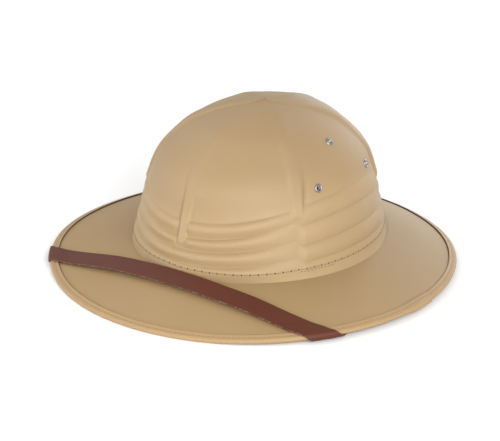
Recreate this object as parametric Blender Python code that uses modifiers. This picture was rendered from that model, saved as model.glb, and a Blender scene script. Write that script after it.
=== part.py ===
"""Pith helmet: a hollow six-panel crown sewn to a drooping brim, with a bound
edge, vent eyelets in both sides and a chin strap laid over the front.

Frame: metres, +Z up, the front towards -Y, the wearer's left towards +X.  The
origin is on the ground under the middle of the brim, which rests on its edge.
Angles run round the hat from the front (0) by the +X side (90) to the back (180).
"""
import math

import bmesh
import bpy
import numpy as np
from mathutils import Matrix, Vector

# ---- driving dimensions ------------------------------------------------------
GAP = 0.0003                 # clearance between pieces that touch

BRIM_WIDTH = 0.3115          # over the binding, side to side
BRIM_LENGTH = 0.309          # over the binding, front to back
BRIM_THICK = 0.0015
BRIM_ROUND = 0.20            # share of the drop that comes late, near the edge
EDGE_LIFT = 0.0026           # how far the brim's edge rises at the two sides
FLAT_HALF_ANGLE = 20.0       # degrees of edge each side of front and back that lie flat
COLLAR_RISE = 0.0020         # the brim's turned-up collar ends this far over the seam
COLLAR_GAP = 0.0008          # from the crown's inside to the collar, at its widest

CROWN_LENGTH = 0.2068        # at the seam, outside
CROWN_WIDTH = 0.1846
CROWN_BACK = 0.0096          # the crown's middle lies this far behind the brim's
CROWN_LEAN = 0.0058          # and its top leans this much further back
CROWN_WALL = 0.0022
FOOT_Z = 0.0200              # underside of the crown's foot
SEAM_RISE = 0.0065           # from the foot up to the line of stitches
FOOT_FLARE = 0.0015          # the foot spreads this far beyond the seam

PANELS = 6
RIB_WIDTH = 0.0064
RIB_SOFT = 0.0018            # width of each sloping side of a rib
RIB_HEIGHT = 0.0016
FOLD_DEPTH = 0.0016          # how far a wide fold stands out between its creases
FOLD_STEEPNESS = 0.16        # a narrow fold stands out only this share of its width
CREASE_SWEEP = 1.5           # how quickly the creases climb from front to side

TAPE_LEG = 0.0048            # binding tape: width seen on each face of the brim
TAPE_THICK = 0.0008
TAPE_END = 93.0              # where the tape's top end lies, degrees from the front
TAPE_LAP = 6.0               # degrees by which it lies over its own start
TAPE_RAMP = 5.0              # degrees in which it climbs onto its start

STRAP_WIDTH = 0.0164
STRAP_THICK = 0.0012
STRAP_FRONT = 0.1042         # from the hat's middle forward to the strap's middle line
STRAP_BOW = 0.0095           # the strap's ends lie this much further back
STRAP_SKEW = 0.030           # sideways lean of the strap over the brim
STRAP_CLEAR = 0.0006         # from the brim to the strap that lies on it
STRAP_RAMP = 0.0080          # length in which the strap climbs onto the binding
STRAP_LIFT = 0.0030          # the stiff strap bridges this high over the front of the brim
STRAP_DIPS_AT = (0.55, 0.35) # share of the way out at which it comes down, on +X and on -X
STRAP_END = (0.1000, 0.0080) # where each end is sewn under the brim

EYELET_ANGLE = 91.0          # middle of the group of three, degrees from the front
EYELET_SPREAD = 21.0         # the lower two lie this far each side of the middle
EYELET_TOP = 0.0765          # heights over the seam
EYELET_LOW = 0.0535
EYELET_HOLE_RADIUS = 0.0025
EYELET_STEPS = 12
EYELET_GRIP = 0.0031         # from the crown's outside to the clinched inner flange

# The crown's outline: height over the seam, and reach as a share of the seam's oval.
CROWN_PROFILE = (
    # height, reach
    (0.0000, 1.000),
    (0.0195, 0.942),
    (0.0390, 0.894),
    (0.0586, 0.819),
    (0.0730, 0.700),
    (0.0845, 0.557),
    (0.0921, 0.354),
    (0.0954, 0.190),
    (0.0968, 0.000),
)

# The creases over the four moulded folds, from the top one down: heights over
# the seam at the front (and back) and at the sides, and the lowest crease that
# a rib at the front or back crosses.
CREASES = (
    # front, side
    (0.0290, 0.0495),
    (0.0160, 0.0360),
    (0.0105, 0.0203),
    (0.0025, 0.0073),
)
FRONT_RIB_ENDS_AT = 2        # front and back ribs run down to the third crease

COLOURS = {
    # sub-part: (red, green, blue), roughness, metallic
    "cloth": ((0.560, 0.402, 0.240), 0.85, 0.0),
    "tape": ((0.600, 0.410, 0.235), 0.80, 0.0),
    "strap": ((0.155, 0.045, 0.026), 0.50, 0.0),
    "metal": ((0.680, 0.670, 0.640), 0.30, 1.0),
}

# ---- mesh density ------------------------------------------------------------
COLUMNS_BETWEEN_RIBS = 4
PANEL_RINGS = 10
FOLD_RINGS = 3
INNER_RINGS = 11
BRIM_COLUMNS = 60
BRIM_RINGS = 6
TAPE_STEP = 5.0              # degrees

# ---- derived values ----------------------------------------------------------
HALF_PI = math.pi / 2.0
SEAM_Z = FOOT_Z + SEAM_RISE
NOSE = BRIM_THICK / 2.0 + GAP + TAPE_THICK       # outer radius of the bound edge
EDGE_HALF_WIDTH = BRIM_WIDTH / 2.0 - 0.85 * NOSE
EDGE_HALF_LENGTH = BRIM_LENGTH / 2.0 - 0.85 * NOSE
EDGE_TOP_Z = NOSE + 0.95 * BRIM_THICK / 2.0
FOOT_HALF_WIDTH = CROWN_WIDTH / 2.0 + FOOT_FLARE
FOOT_HALF_LENGTH = CROWN_LENGTH / 2.0 + FOOT_FLARE


def smooth_step(value):
    """0 below 0, 1 above 1, and an even slope between."""
    t = np.clip(value, 0.0, 1.0)
    return t * t * (3.0 - 2.0 * t)


def unit(vectors):
    """The vectors, each scaled to length 1."""
    return vectors / np.linalg.norm(vectors, axis=-1, keepdims=True)


# ---- the crown's surface -----------------------------------------------------
def crown_curve(count=240):
    """The outline as a dense smooth curve: heights and reaches from seam to top.

    A spline through the table's points; the last point is mirrored over the
    axis, so that the curve arrives at the top level."""
    knots = np.array(CROWN_PROFILE)
    scale = np.array([1.0, CROWN_LENGTH / 2.0])
    mirrored = knots[-2] * np.array([1.0, -1.0])
    path = np.vstack([2.0 * knots[0] - knots[1], knots, mirrored]) * scale
    per_span = count // (len(knots) - 1)
    pieces = []
    for i in range(1, len(path) - 2):
        t = np.linspace(0.0, 1.0, per_span, endpoint=False)[:, None]
        before, start, end, after = path[i - 1:i + 3]
        pieces.append(0.5 * (2.0 * start + (end - before) * t
                             + (2.0 * before - 5.0 * start + 4.0 * end - after) * t ** 2
                             + (3.0 * start - before - 3.0 * end + after) * t ** 3))
    curve = np.vstack(pieces + [path[-2:-1]]) / scale
    return curve[:, 0], curve[:, 1]


CURVE_HEIGHT, CURVE_REACH = crown_curve()
CROWN_HEIGHT = CROWN_PROFILE[-1][0]


def crown_base(angle, height):
    """Points of the plain crown, without ribs and folds."""
    reach = np.interp(height, CURVE_HEIGHT, CURVE_REACH)
    x = CROWN_WIDTH / 2.0 * reach * np.sin(angle)
    y = (CROWN_BACK + CROWN_LEAN * (height / CROWN_HEIGHT) ** 2
         - CROWN_LENGTH / 2.0 * reach * np.cos(angle))
    z = SEAM_Z + height + 0.0 * x
    return np.stack([x, y, z], axis=-1)


def crown_normal(angle, height):
    """Outward unit normals of the plain crown, from the outline's local slope."""
    step = 0.0008
    low = np.interp(height - step, CURVE_HEIGHT, CURVE_REACH)
    high = np.interp(height + step, CURVE_HEIGHT, CURVE_REACH)
    top = np.clip(height + step, 0.0, CROWN_HEIGHT)
    bottom = np.clip(height - step, 0.0, CROWN_HEIGHT)
    steepness = (low - high) / (top - bottom)
    half_width, half_length = CROWN_WIDTH / 2.0, CROWN_LENGTH / 2.0
    across = half_width * half_length / (half_width + half_length) * 2.0
    normal = np.stack([np.sin(angle) * half_length / across,
                       -np.cos(angle) * half_width / across,
                       steepness * across + 0.0 * angle], axis=-1)
    return unit(normal)


def crease_height(index, angle):
    """Height over the seam of one crease: low at front and back, high at the sides."""
    front, side = CREASES[index]
    return front + (side - front) * np.abs(np.sin(angle)) ** CREASE_SWEEP


def rib_distance(angle, reach):
    """Distance along the surface from the middle line of the nearest rib."""
    pitch = 2.0 * math.pi / PANELS
    offset = (angle + pitch / 2.0) % pitch - pitch / 2.0
    radius = 0.25 * (CROWN_LENGTH + CROWN_WIDTH) * reach
    return radius * np.abs(np.sin(offset))


def rib_relief(angle, height, reach):
    """How far the ribs stand out at a point, fading where a rib meets the folds."""
    side = smooth_step((RIB_WIDTH / 2.0 + RIB_SOFT - rib_distance(angle, reach)) / RIB_SOFT)
    on_axis = np.abs(np.sin(angle)) < math.sin(math.radians(30.0))
    foot = np.where(on_axis, crease_height(FRONT_RIB_ENDS_AT, angle), crease_height(0, angle))
    return RIB_HEIGHT * side * smooth_step((height - foot) / 0.003)


def fold_relief(width, share):
    """How far a fold stands out, share 0 at its lower crease and 1 at its upper one."""
    depth = np.minimum(FOLD_DEPTH, FOLD_STEEPNESS * width)
    return depth * (4.0 * share * (1.0 - share)) ** 0.7


def rib_columns(reach):
    """Angles of the mesh's columns for one ring, kept along the ribs' sides."""
    radius = 0.25 * (CROWN_LENGTH + CROWN_WIDTH) * max(reach, 1e-6)
    pitch = 2.0 * math.pi / PANELS
    sides = []
    for distance in (RIB_WIDTH / 2.0, RIB_WIDTH / 2.0 + RIB_SOFT):
        share_cap = 0.22 if distance > RIB_WIDTH / 2.0 else 0.15
        sides.append(min(math.asin(min(distance / radius, 1.0)), share_cap * pitch))
    between = np.linspace(sides[1], pitch - sides[1], COLUMNS_BETWEEN_RIBS + 2)
    one = np.concatenate([[-sides[0], 0.0, sides[0]], between])
    return np.concatenate([one + pitch * i for i in range(PANELS)])


def outer_crown_rings():
    """Rings of points on the crown's outside, from the foot's lower edge to the top."""
    rings = []
    foot_angles = rib_columns(1.0)
    for rise, spread in ((0.0, 1.0), (0.45, 0.9)):
        ring = crown_base(foot_angles, np.zeros_like(foot_angles))
        ring += crown_normal(foot_angles, 0.0 * foot_angles) * [[1, 1, 0]] * FOOT_FLARE * spread
        ring[:, 2] = FOOT_Z + rise * SEAM_RISE
        rings.append(ring)
    rings.append(crown_base(foot_angles, np.zeros_like(foot_angles)))

    low = np.zeros_like(foot_angles)
    for index in reversed(range(len(CREASES))):
        angle = rib_columns(0.95)
        high = crease_height(index, angle)
        for share in np.linspace(0.0, 1.0, FOLD_RINGS + 2)[1:]:
            height = low + (high - low) * share
            reach = np.interp(height, CURVE_HEIGHT, CURVE_REACH)
            relief = np.maximum(fold_relief(high - low, share),
                                rib_relief(angle, height, reach))
            rings.append(crown_base(angle, height) + crown_normal(angle, height) * relief[:, None])
        low = high

    for share in np.linspace(0.0, 1.0, PANEL_RINGS + 1)[1:]:
        lift = math.sin(HALF_PI * share)
        level = CREASES[0][0] + (0.9985 * CROWN_HEIGHT - CREASES[0][0]) * lift
        angle = rib_columns(float(np.interp(level, CURVE_HEIGHT, CURVE_REACH)))
        bottom = crease_height(0, angle)
        height = bottom + (0.9985 * CROWN_HEIGHT - bottom) * lift
        reach = np.interp(height, CURVE_HEIGHT, CURVE_REACH)
        relief = rib_relief(angle, height, reach)
        rings.append(crown_base(angle, height) + crown_normal(angle, height) * relief[:, None])
    return rings


def inner_crown_rings():
    """Rings of points on the crown's smooth inside, from the top down to the foot."""
    rings = []
    angle = rib_columns(0.95)
    for share in np.linspace(1.0, 0.0, INNER_RINGS):
        height = 0.9985 * CROWN_HEIGHT * math.sin(HALF_PI * share) + 0.0 * angle
        rings.append(crown_base(angle, height) - crown_normal(angle, height) * CROWN_WALL)
    foot = rings[-1].copy()
    foot[:, 2] = FOOT_Z
    rings.append(foot)
    return rings


# ---- the brim's surface ------------------------------------------------------
def edge_lift(angle):
    """Rise of the brim's edge: none at front and back, most at the two sides."""
    flat = math.sin(math.radians(FLAT_HALF_ANGLE))
    return EDGE_LIFT * smooth_step((np.abs(np.sin(angle)) - flat) / (1.0 - flat))


def brim_top(angle, share):
    """Points on the brim's upper face: share 0 at the crown's foot, 1 at the edge."""
    x = (FOOT_HALF_WIDTH + (EDGE_HALF_WIDTH - FOOT_HALF_WIDTH) * share) * np.sin(angle)
    y = (CROWN_BACK * (1.0 - share)
         - (FOOT_HALF_LENGTH + (EDGE_HALF_LENGTH - FOOT_HALF_LENGTH) * share) * np.cos(angle))
    drop = (1.0 - BRIM_ROUND) * share + BRIM_ROUND * share ** 2
    z = (FOOT_Z - GAP) + (EDGE_TOP_Z - FOOT_Z + GAP) * drop + edge_lift(angle) * share ** 2
    return np.stack([x, y, z], axis=-1)


def brim_axes(angle, share):
    """Outward direction down the brim's slope, and the upward normal, at a point."""
    step = 0.004
    outward = unit(brim_top(angle, share + step) - brim_top(angle, share - step))
    along = unit(brim_top(angle + step, share) - brim_top(angle - step, share))
    normal = unit(np.cross(outward, along))
    return outward, np.where(normal[..., 2:3] < 0.0, -normal, normal)


def brim_place(x, y):
    """The angle and share whose point on the brim lies over the plan point x, y."""
    share = 0.5 + 0.0 * x
    for _ in range(12):
        half_width = FOOT_HALF_WIDTH + (EDGE_HALF_WIDTH - FOOT_HALF_WIDTH) * share
        half_length = FOOT_HALF_LENGTH + (EDGE_HALF_LENGTH - FOOT_HALF_LENGTH) * share
        middle = CROWN_BACK * (1.0 - share)
        angle = np.arctan2(x / half_width, (middle - y) / half_length)
        size = np.hypot(x / half_width, (middle - y) / half_length)
        share = share + (size - 1.0) * half_width / (EDGE_HALF_WIDTH - FOOT_HALF_WIDTH)
    return angle, share


def nose_centre(angle):
    """Middle of the brim's thickness at its edge, where the tape and strap turn."""
    _, normal = brim_axes(angle, 1.0 + 0.0 * angle)
    return brim_top(angle, 1.0 + 0.0 * angle) - normal * BRIM_THICK / 2.0


# ---- Blender helpers ---------------------------------------------------------
def material(name):
    """A Principled material in the sub-part's colour."""
    made = bpy.data.materials.get(name)
    if made:
        return made
    colour, roughness, metallic = COLOURS[name]
    made = bpy.data.materials.new(name)
    made.use_nodes = True
    shader = made.node_tree.nodes["Principled BSDF"]
    shader.inputs["Base Color"].default_value = (*colour, 1.0)
    shader.inputs["Roughness"].default_value = roughness
    shader.inputs["Metallic"].default_value = metallic
    made.diffuse_color = (*colour, 1.0)
    return made


def new_object(name, mesh, collection, look=None):
    """An object for the mesh, smooth-shaded, in its collection."""
    thing = bpy.data.objects.new(name, mesh)
    collection.objects.link(thing)
    if look:
        mesh.materials.append(material(look))
    mesh.shade_smooth()
    return thing


def loft(name, sections, closed):
    """A mesh skinned over closed sections of equal count, with both ends capped.

    closed False leaves the sections open, as the rings of a sheet."""
    rows = len(sections)
    count = len(sections[0])
    mesh = bpy.data.meshes.new(name)
    work = bmesh.new()
    grid = [[work.verts.new(point) for point in section] for section in sections]
    for row in range(rows - 1):
        for i in range(count):
            j = (i + 1) % count
            work.faces.new((grid[row][i], grid[row][j], grid[row + 1][j], grid[row + 1][i]))
    if closed:
        work.faces.new(grid[0])
        work.faces.new(grid[-1])
        bmesh.ops.recalc_face_normals(work, faces=work.faces)
    work.to_mesh(mesh)
    work.free()
    return mesh


# ---- the sub-parts -----------------------------------------------------------
def eyelet_places():
    """Angle and height over the seam of each eyelet, with its name."""
    places = []
    for side, sign in (("left", 1.0), ("right", -1.0)):
        for label, turn, height in (("front", -EYELET_SPREAD, EYELET_LOW),
                                    ("top", 0.0, EYELET_TOP),
                                    ("back", EYELET_SPREAD, EYELET_LOW)):
            angle = sign * math.radians(EYELET_ANGLE + turn)
            places.append((f"eyelet_{side}_{label}", angle, height))
    return places


def eyelet_frame(angle, height):
    """World matrix at the crown's outside, local Z along its outward normal."""
    at = np.array([angle])
    over = np.array([height])
    origin = Vector(crown_base(at, over)[0])
    outward = Vector(crown_normal(at, over)[0])
    return Matrix.Translation(origin) @ outward.to_track_quat("Z", "Y").to_matrix().to_4x4()


def make_crown(parts, cutters):
    """The hollow crown, with a hole through its wall for each eyelet."""
    mesh = loft("crown", list(reversed(outer_crown_rings())) + list(reversed(inner_crown_rings())),
                closed=True)
    crown = new_object("crown", mesh, parts, "cloth")
    for name, angle, height in eyelet_places():
        hole_mesh = bpy.data.meshes.new(f"cut_{name}")
        work = bmesh.new()
        bmesh.ops.create_cone(work, cap_ends=True, segments=EYELET_STEPS,
                              radius1=EYELET_HOLE_RADIUS, radius2=EYELET_HOLE_RADIUS,
                              depth=8.0 * CROWN_WALL)
        work.to_mesh(hole_mesh)
        work.free()
        hole = new_object(f"cut_{name}", hole_mesh, cutters)
        hole.matrix_world = eyelet_frame(angle, height)
        hole.hide_render = True
        hole.display_type = "WIRE"
        cut = crown.modifiers.new(f"cut_{name}", "BOOLEAN")
        cut.operation = "DIFFERENCE"
        cut.solver = "EXACT"
        cut.object = hole
    return crown


def make_brim(parts):
    """The brim: a sheet that turns up inside the crown and droops to its edge."""
    angle = np.linspace(0.0, 2.0 * math.pi, BRIM_COLUMNS, endpoint=False)
    inset = CROWN_WALL + COLLAR_GAP
    rings = []
    for height in (COLLAR_RISE, 0.0):
        over = height + 0.0 * angle
        rings.append(crown_base(angle, over) - crown_normal(angle, over) * inset)
    foot = rings[-1].copy()
    foot[:, 2] = FOOT_Z - GAP
    rings.append(foot)
    for share in np.linspace(0.0, 1.0, BRIM_RINGS + 1):
        rings.append(brim_top(angle, share + 0.0 * angle))
    brim = new_object("brim", loft("brim", rings, closed=False), parts, "cloth")
    shell = brim.modifiers.new("thickness", "SOLIDIFY")
    shell.thickness = BRIM_THICK
    shell.offset = 1.0
    shell.use_even_offset = True
    return brim


def tape_section(angle, lap):
    """The binding's section at one angle: a strip folded round the brim's edge.

    lap 0 lies on the brim and 1 lies over another layer of the same tape."""
    at = np.array([angle])
    outward, normal = (axis[0] for axis in brim_axes(at, np.array([1.0])))
    centre = nose_centre(at)[0]
    level = unit(outward * [1.0, 1.0, 0.0])
    rise = np.array([0.0, 0.0, 1.0])
    outer = NOSE + lap * (TAPE_THICK + GAP)
    inner = outer - TAPE_THICK
    end = -outward * TAPE_LEG

    def turned(radius, degrees):
        direction = math.radians(degrees)
        return centre + radius * (level * math.cos(direction) + rise * math.sin(direction))

    floor = float(edge_lift(angle)) - lap * (TAPE_THICK + GAP)
    lowest = [centre + level * 0.75 * BRIM_THICK / 2.0, centre - level * 0.75 * BRIM_THICK / 2.0]
    for point in lowest:
        point[2] = floor
    return np.array([
        centre + end + normal * outer,
        centre + normal * outer,
        turned(outer, 25.0),
        turned(outer, -30.0),
        lowest[0],
        lowest[1],
        centre + end - normal * outer,
        centre + end - normal * inner,
        centre - normal * inner,
        turned(inner, -20.0),
        centre + normal * inner,
        centre + end + normal * inner,
    ])


def make_binding(parts):
    """The binding tape, once round the edge, its end lapped over its start."""
    start = TAPE_END - TAPE_LAP
    stop = TAPE_END + 360.0
    angles = np.concatenate([np.arange(start, stop - TAPE_LAP - TAPE_RAMP, TAPE_STEP),
                             np.linspace(stop - TAPE_LAP - TAPE_RAMP, stop, 7)])
    sections = []
    for degrees in angles:
        lap = float(smooth_step((degrees - (stop - TAPE_LAP - TAPE_RAMP)) / (0.8 * TAPE_RAMP)))
        sections.append(tape_section(math.radians(degrees), lap))
    return new_object("brim_binding", loft("brim_binding", sections, closed=True), parts, "tape")


def strap_half(skew, dips_at):
    """Half of the strap, from the front's middle to its sewn end on the +X side.

    Returns, for each station, its row of points across the strap and their
    normals.  The strap bridges the front of the brim, comes down onto it, turns
    round the bound edge at a slant and runs back under the brim."""
    across = np.array([-0.5, 0.0, 0.5]) * STRAP_WIDTH
    width = EDGE_HALF_WIDTH - FOOT_HALF_WIDTH
    on_brim = STRAP_CLEAR + STRAP_THICK / 2.0
    turn_radius = NOSE + GAP + STRAP_THICK / 2.0
    on_tape = turn_radius - BRIM_THICK / 2.0
    reach = EDGE_HALF_WIDTH * 0.77

    def middle(x):
        return np.array([x, -STRAP_FRONT + STRAP_BOW * (x / reach) ** 2 + skew * x])

    def heading(x):
        return unit(np.array([1.0, 2.0 * STRAP_BOW * x / reach ** 2 + skew]))

    def lay(point, face, spare):
        """A plan point set down on the brim's face, +1 above or -1 below."""
        angle, share = brim_place(np.array([point[0]]), np.array([point[1]]))
        _, normal = brim_axes(angle, share)
        near_edge = smooth_step((spare + STRAP_RAMP) / STRAP_RAMP)
        off = on_brim + (on_tape - on_brim) * near_edge
        depth = 0.0 if face > 0 else BRIM_THICK
        spot = brim_top(angle, share)[0] + normal[0] * (face * off - depth)
        return spot, face * normal[0]

    # The place where the middle line meets the binding, and the slant there.
    near, far = 0.5 * reach, 1.2 * reach
    for _ in range(40):
        x = 0.5 * (near + far)
        _, share = brim_place(*[np.array([v]) for v in middle(x)])
        near, far = (x, far) if (1.0 - share[0]) * width > 0.003 else (near, x)
    end_angle, _ = brim_place(*[np.array([v]) for v in middle(x)])
    along = unit(nose_centre(end_angle + 0.01)[0] - nose_centre(end_angle - 0.01)[0])[:2]
    slant = math.asin(float(np.dot(heading(x), unit(along))))

    rows = []
    for step in np.linspace(0.0, 1.0, 19):
        down = float(smooth_step((step - dips_at) / (0.97 - dips_at)))
        bridge = np.array([0.0, 0.0, STRAP_LIFT * (1.0 - down)])
        place = middle(x * step)
        ahead = heading(x * step)
        side = np.array([-ahead[1], ahead[0]])
        shear = math.tan(slant) * float(smooth_step((step - 0.75) / 0.25))
        row = []
        for offset in across:
            point = place + offset * (side + shear * ahead)
            _, share = brim_place(np.array([point[0]]), np.array([point[1]]))
            inward = (1.0 - share[0]) * width
            spot, up = lay(point, 1.0, TAPE_LEG - inward)
            row.append((spot + bridge, up))
        rows.append(row)

    arc = math.pi * turn_radius
    radius = float(np.linalg.norm(nose_centre(end_angle)[0][:2]))
    for run in np.linspace(0.0, arc, 9):
        row = []
        for offset in across:
            travel = (run + 0.003) * math.tan(slant) + offset / math.cos(slant)
            angle = end_angle + travel / radius
            outward, normal = (axis[0] for axis in brim_axes(angle, np.array([1.0])))
            turn = run / turn_radius
            direction = normal * math.cos(turn) + outward * math.sin(turn)
            row.append((nose_centre(angle)[0] + direction * turn_radius, direction))
        rows.append(row)

    # Under the brim: a smooth curve in plan from the turn to the sewn end.
    out_angle = end_angle + ((arc + 0.003) * math.tan(slant)) / radius
    outward, _ = (axis[0] for axis in brim_axes(out_angle, np.array([1.0])))
    level = unit(outward[:2])
    along = np.array([-level[1], level[0]])
    leave = math.sin(slant) * along - math.cos(slant) * level
    first = nose_centre(out_angle)[0][:2]
    last = np.array(STRAP_END)
    bend = first + leave * 0.5 * np.linalg.norm(last - first)
    for step in np.linspace(0.0, 1.0, 12)[1:]:
        place = (1.0 - step) ** 2 * first + 2.0 * step * (1.0 - step) * bend + step ** 2 * last
        ahead = unit((1.0 - step) * (bend - first) + step * (last - bend))
        side = np.array([-ahead[1], ahead[0]])
        shear = math.tan(slant) * (1.0 - float(smooth_step(step / 0.45)))
        row = []
        for offset in across:
            point = place - offset * (side - shear * ahead)
            _, share = brim_place(np.array([point[0]]), np.array([point[1]]))
            inward = (1.0 - share[0]) * width
            row.append(lay(point, -1.0, TAPE_LEG - inward))
        rows.append(row)
    return rows


def make_strap(parts):
    """The chin strap: one flat band from one side of the hat to the other."""
    flip = np.array([-1.0, 1.0, 1.0])
    other = [[(point * flip, normal * flip) for point, normal in row]
             for row in strap_half(-STRAP_SKEW, STRAP_DIPS_AT[1])]
    rows = list(reversed(other[1:])) + strap_half(STRAP_SKEW, STRAP_DIPS_AT[0])
    sections = []
    for row in rows:
        face = [point + normal * STRAP_THICK / 2.0 for point, normal in row]
        back = [point - normal * STRAP_THICK / 2.0 for point, normal in row]
        sections.append(np.array(face + back[::-1]))
    return new_object("chin_strap", loft("chin_strap", sections, closed=True), parts, "strap")


def make_eyelets(parts):
    """The vent eyelets: turned rings clinched through the crown's wall."""
    inside = -EYELET_GRIP
    barrel = EYELET_HOLE_RADIUS - GAP
    profile = (
        # radius, height
        (0.0016, 0.0006),
        (0.0024, 0.0010),
        (0.0033, 0.0006),
        (0.0033, GAP),
        (barrel, GAP),
        (barrel, inside),
        (0.0032, inside),
        (0.0032, inside - 0.0005),
        (0.0016, inside - 0.0005),
    )
    mesh = bpy.data.meshes.new("eyelet")
    count = len(profile)
    mesh.from_pydata([(radius, 0.0, height) for radius, height in profile],
                     [(i, (i + 1) % count) for i in range(count)], [])
    made = []
    for name, angle, height in eyelet_places():
        eyelet = new_object(name, mesh, parts)
        eyelet.matrix_world = eyelet_frame(angle, height)
        turn = eyelet.modifiers.new("turn", "SCREW")
        turn.axis = "Z"
        turn.steps = EYELET_STEPS
        turn.render_steps = EYELET_STEPS
        turn.use_merge_vertices = True
        turn.merge_threshold = 0.00005
        made.append(eyelet)
    mesh.materials.append(material("metal"))
    return made


def main():
    """Empties the scene and builds the hat."""
    for thing in list(bpy.data.objects):
        bpy.data.objects.remove(thing, do_unlink=True)
    parts = bpy.data.collections.new("pith_helmet")
    cutters = bpy.data.collections.new("cutters")
    for collection in (parts, cutters):
        bpy.context.scene.collection.children.link(collection)
    make_crown(parts, cutters)
    make_brim(parts)
    make_binding(parts)
    make_strap(parts)
    make_eyelets(parts)


main()
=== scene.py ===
# %% [markdown]
# # A pith helmet, dressed for its portrait
# The real hat is made of cloth that was pressed hot over a thin stiff foam: a tall
# crown with six raised ribs and a few moulded folds round its foot, sewn to a wide
# brim that droops to a taped edge.  One flat brown strap lies over the front.
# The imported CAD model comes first.  It is the frame that every piece has to fit.

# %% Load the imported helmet
import math

import bmesh
import bpy
import numpy as np
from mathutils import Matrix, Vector


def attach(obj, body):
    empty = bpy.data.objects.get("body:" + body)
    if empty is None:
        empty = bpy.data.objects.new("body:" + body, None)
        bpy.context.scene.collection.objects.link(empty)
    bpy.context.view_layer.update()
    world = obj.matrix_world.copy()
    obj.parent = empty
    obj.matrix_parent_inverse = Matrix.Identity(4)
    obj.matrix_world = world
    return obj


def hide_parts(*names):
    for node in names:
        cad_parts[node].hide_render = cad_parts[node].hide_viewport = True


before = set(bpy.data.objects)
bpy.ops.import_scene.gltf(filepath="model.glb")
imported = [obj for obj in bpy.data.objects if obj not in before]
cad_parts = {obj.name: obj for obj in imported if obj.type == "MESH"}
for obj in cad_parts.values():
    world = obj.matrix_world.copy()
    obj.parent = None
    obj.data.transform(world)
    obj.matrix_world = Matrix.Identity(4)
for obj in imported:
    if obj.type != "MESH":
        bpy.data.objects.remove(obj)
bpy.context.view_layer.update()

# %% [markdown]
# ## The camera
# The photograph was taken from a little above, with the front of the hat turned
# to the left.  The lens is long, so the brim's near and far sides look alike.
# The camera is placed by two angles and a distance, and a small shift puts the
# hat a little high in the frame, where the photograph has it.

# %% Camera
AZIMUTH = math.radians(37.0)          # 0 looks along +Y, and +X lies at 90 degrees
ELEVATION = math.radians(21.5)
CAMERA_DISTANCE = 1.5
LOOK_AT = Vector((0.0, 0.0, 0.0612))
LENS, SENSOR = 142.6, 36.0            # millimetres
SHIFT = (-0.0066, -0.0758)            # in widths of the picture


def direction(azimuth, elevation):
    """Unit vector towards a place round the hat: (sin a cos e, -cos a cos e, sin e)."""
    return Vector((math.sin(azimuth) * math.cos(elevation),
                   -math.cos(azimuth) * math.cos(elevation), math.sin(elevation)))


def aim(thing, place, target):
    """Puts a camera or lamp at a place, with its local -Z towards the target."""
    thing.location = place
    thing.rotation_euler = (target - place).to_track_quat("-Z", "Y").to_euler()


def add_object(name, data):
    """A new object for a camera, a lamp or a mesh, linked into the scene."""
    thing = bpy.data.objects.new(name, data)
    bpy.context.collection.objects.link(thing)
    return thing


camera_data = bpy.data.cameras.new("camera")
camera_data.lens = LENS
camera_data.sensor_width = SENSOR
camera_data.sensor_fit = "HORIZONTAL"
camera_data.shift_x, camera_data.shift_y = SHIFT
camera = add_object("camera", camera_data)
aim(camera, LOOK_AT + direction(AZIMUTH, ELEVATION) * CAMERA_DISTANCE, LOOK_AT)
bpy.context.scene.camera = camera
print("camera at", tuple(round(v, 3) for v in camera.location))

# %% [markdown]
# ## The studio
# The photograph's light is soft and comes from the front, so the upright cloth is
# brighter than the top of the crown.  Large square lamps give that softness.  A
# pale floor throws light back under the brim, as a white sweep in a studio does.

# %% Floor, sky and lamps
FLOOR_COLOUR = (0.90, 0.90, 0.90, 1.0)
SKY_STRENGTH = 0.56
FLOOR_HALF = 6.0
LAMP_DISTANCE, LAMP_SIZE = 1.8, 1.2
LAMPS = (
    # name, azimuth, elevation, watts
    ("right", 60.0, 25.0, 23.5), ("fill", 37.0, 12.0, 18.0), ("front", -45.0, 12.0, 16.5),
    ("left", -90.0, 45.0, 7.5), ("back", 185.0, 12.0, 15.0))

scene = bpy.context.scene
scene.view_settings.view_transform = "Standard"
scene.view_settings.look = "None"
world = bpy.data.worlds.new("studio")
world.use_nodes = True
sky = world.node_tree.nodes["Background"]
sky.inputs["Color"].default_value = (1.0, 1.0, 1.0, 1.0)
sky.inputs["Strength"].default_value = SKY_STRENGTH
scene.world = world

for name, azimuth, elevation, watts in LAMPS:
    lamp_data = bpy.data.lights.new(name, "AREA")
    lamp_data.shape = "SQUARE"
    lamp_data.size = LAMP_SIZE
    lamp_data.energy = watts
    towards = direction(math.radians(azimuth), math.radians(elevation))
    aim(add_object(name, lamp_data), LOOK_AT + towards * LAMP_DISTANCE, LOOK_AT)

floor_mesh = bpy.data.meshes.new("floor")
corners = [(FLOOR_HALF * x, FLOOR_HALF * y, 0.0) for x, y in ((-1, -1), (1, -1), (1, 1), (-1, 1))]
floor_mesh.from_pydata(corners, [], [(0, 1, 2, 3)])
floor = add_object("floor", floor_mesh)
floor_look = bpy.data.materials.new("floor_paper")
floor_look.use_nodes = True
floor_shader = floor_look.node_tree.nodes["Principled BSDF"]
floor_shader.inputs["Base Color"].default_value = FLOOR_COLOUR
floor_shader.inputs["Roughness"].default_value = 0.9
floor_mesh.materials.append(floor_look)
print("lamps:", [lamp[0] for lamp in LAMPS])

# %% [markdown]
# ## Tools for making surfaces
# Every soft piece is a surface worked out with numpy: a grid of points, a row for
# each step of one parameter and a column for each step of the other.  One helper
# turns such a grid into a closed mesh, and gives each point its place in the
# cloth as UV coordinates in metres, so that a weave can follow the surface.

# %% Mesh helpers
TURN = 2.0 * math.pi


def smooth_step(value):
    """0 below 0, 1 above 1, and 3t^2 - 2t^3 between."""
    t = np.clip(value, 0.0, 1.0)
    return t * t * (3.0 - 2.0 * t)


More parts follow.
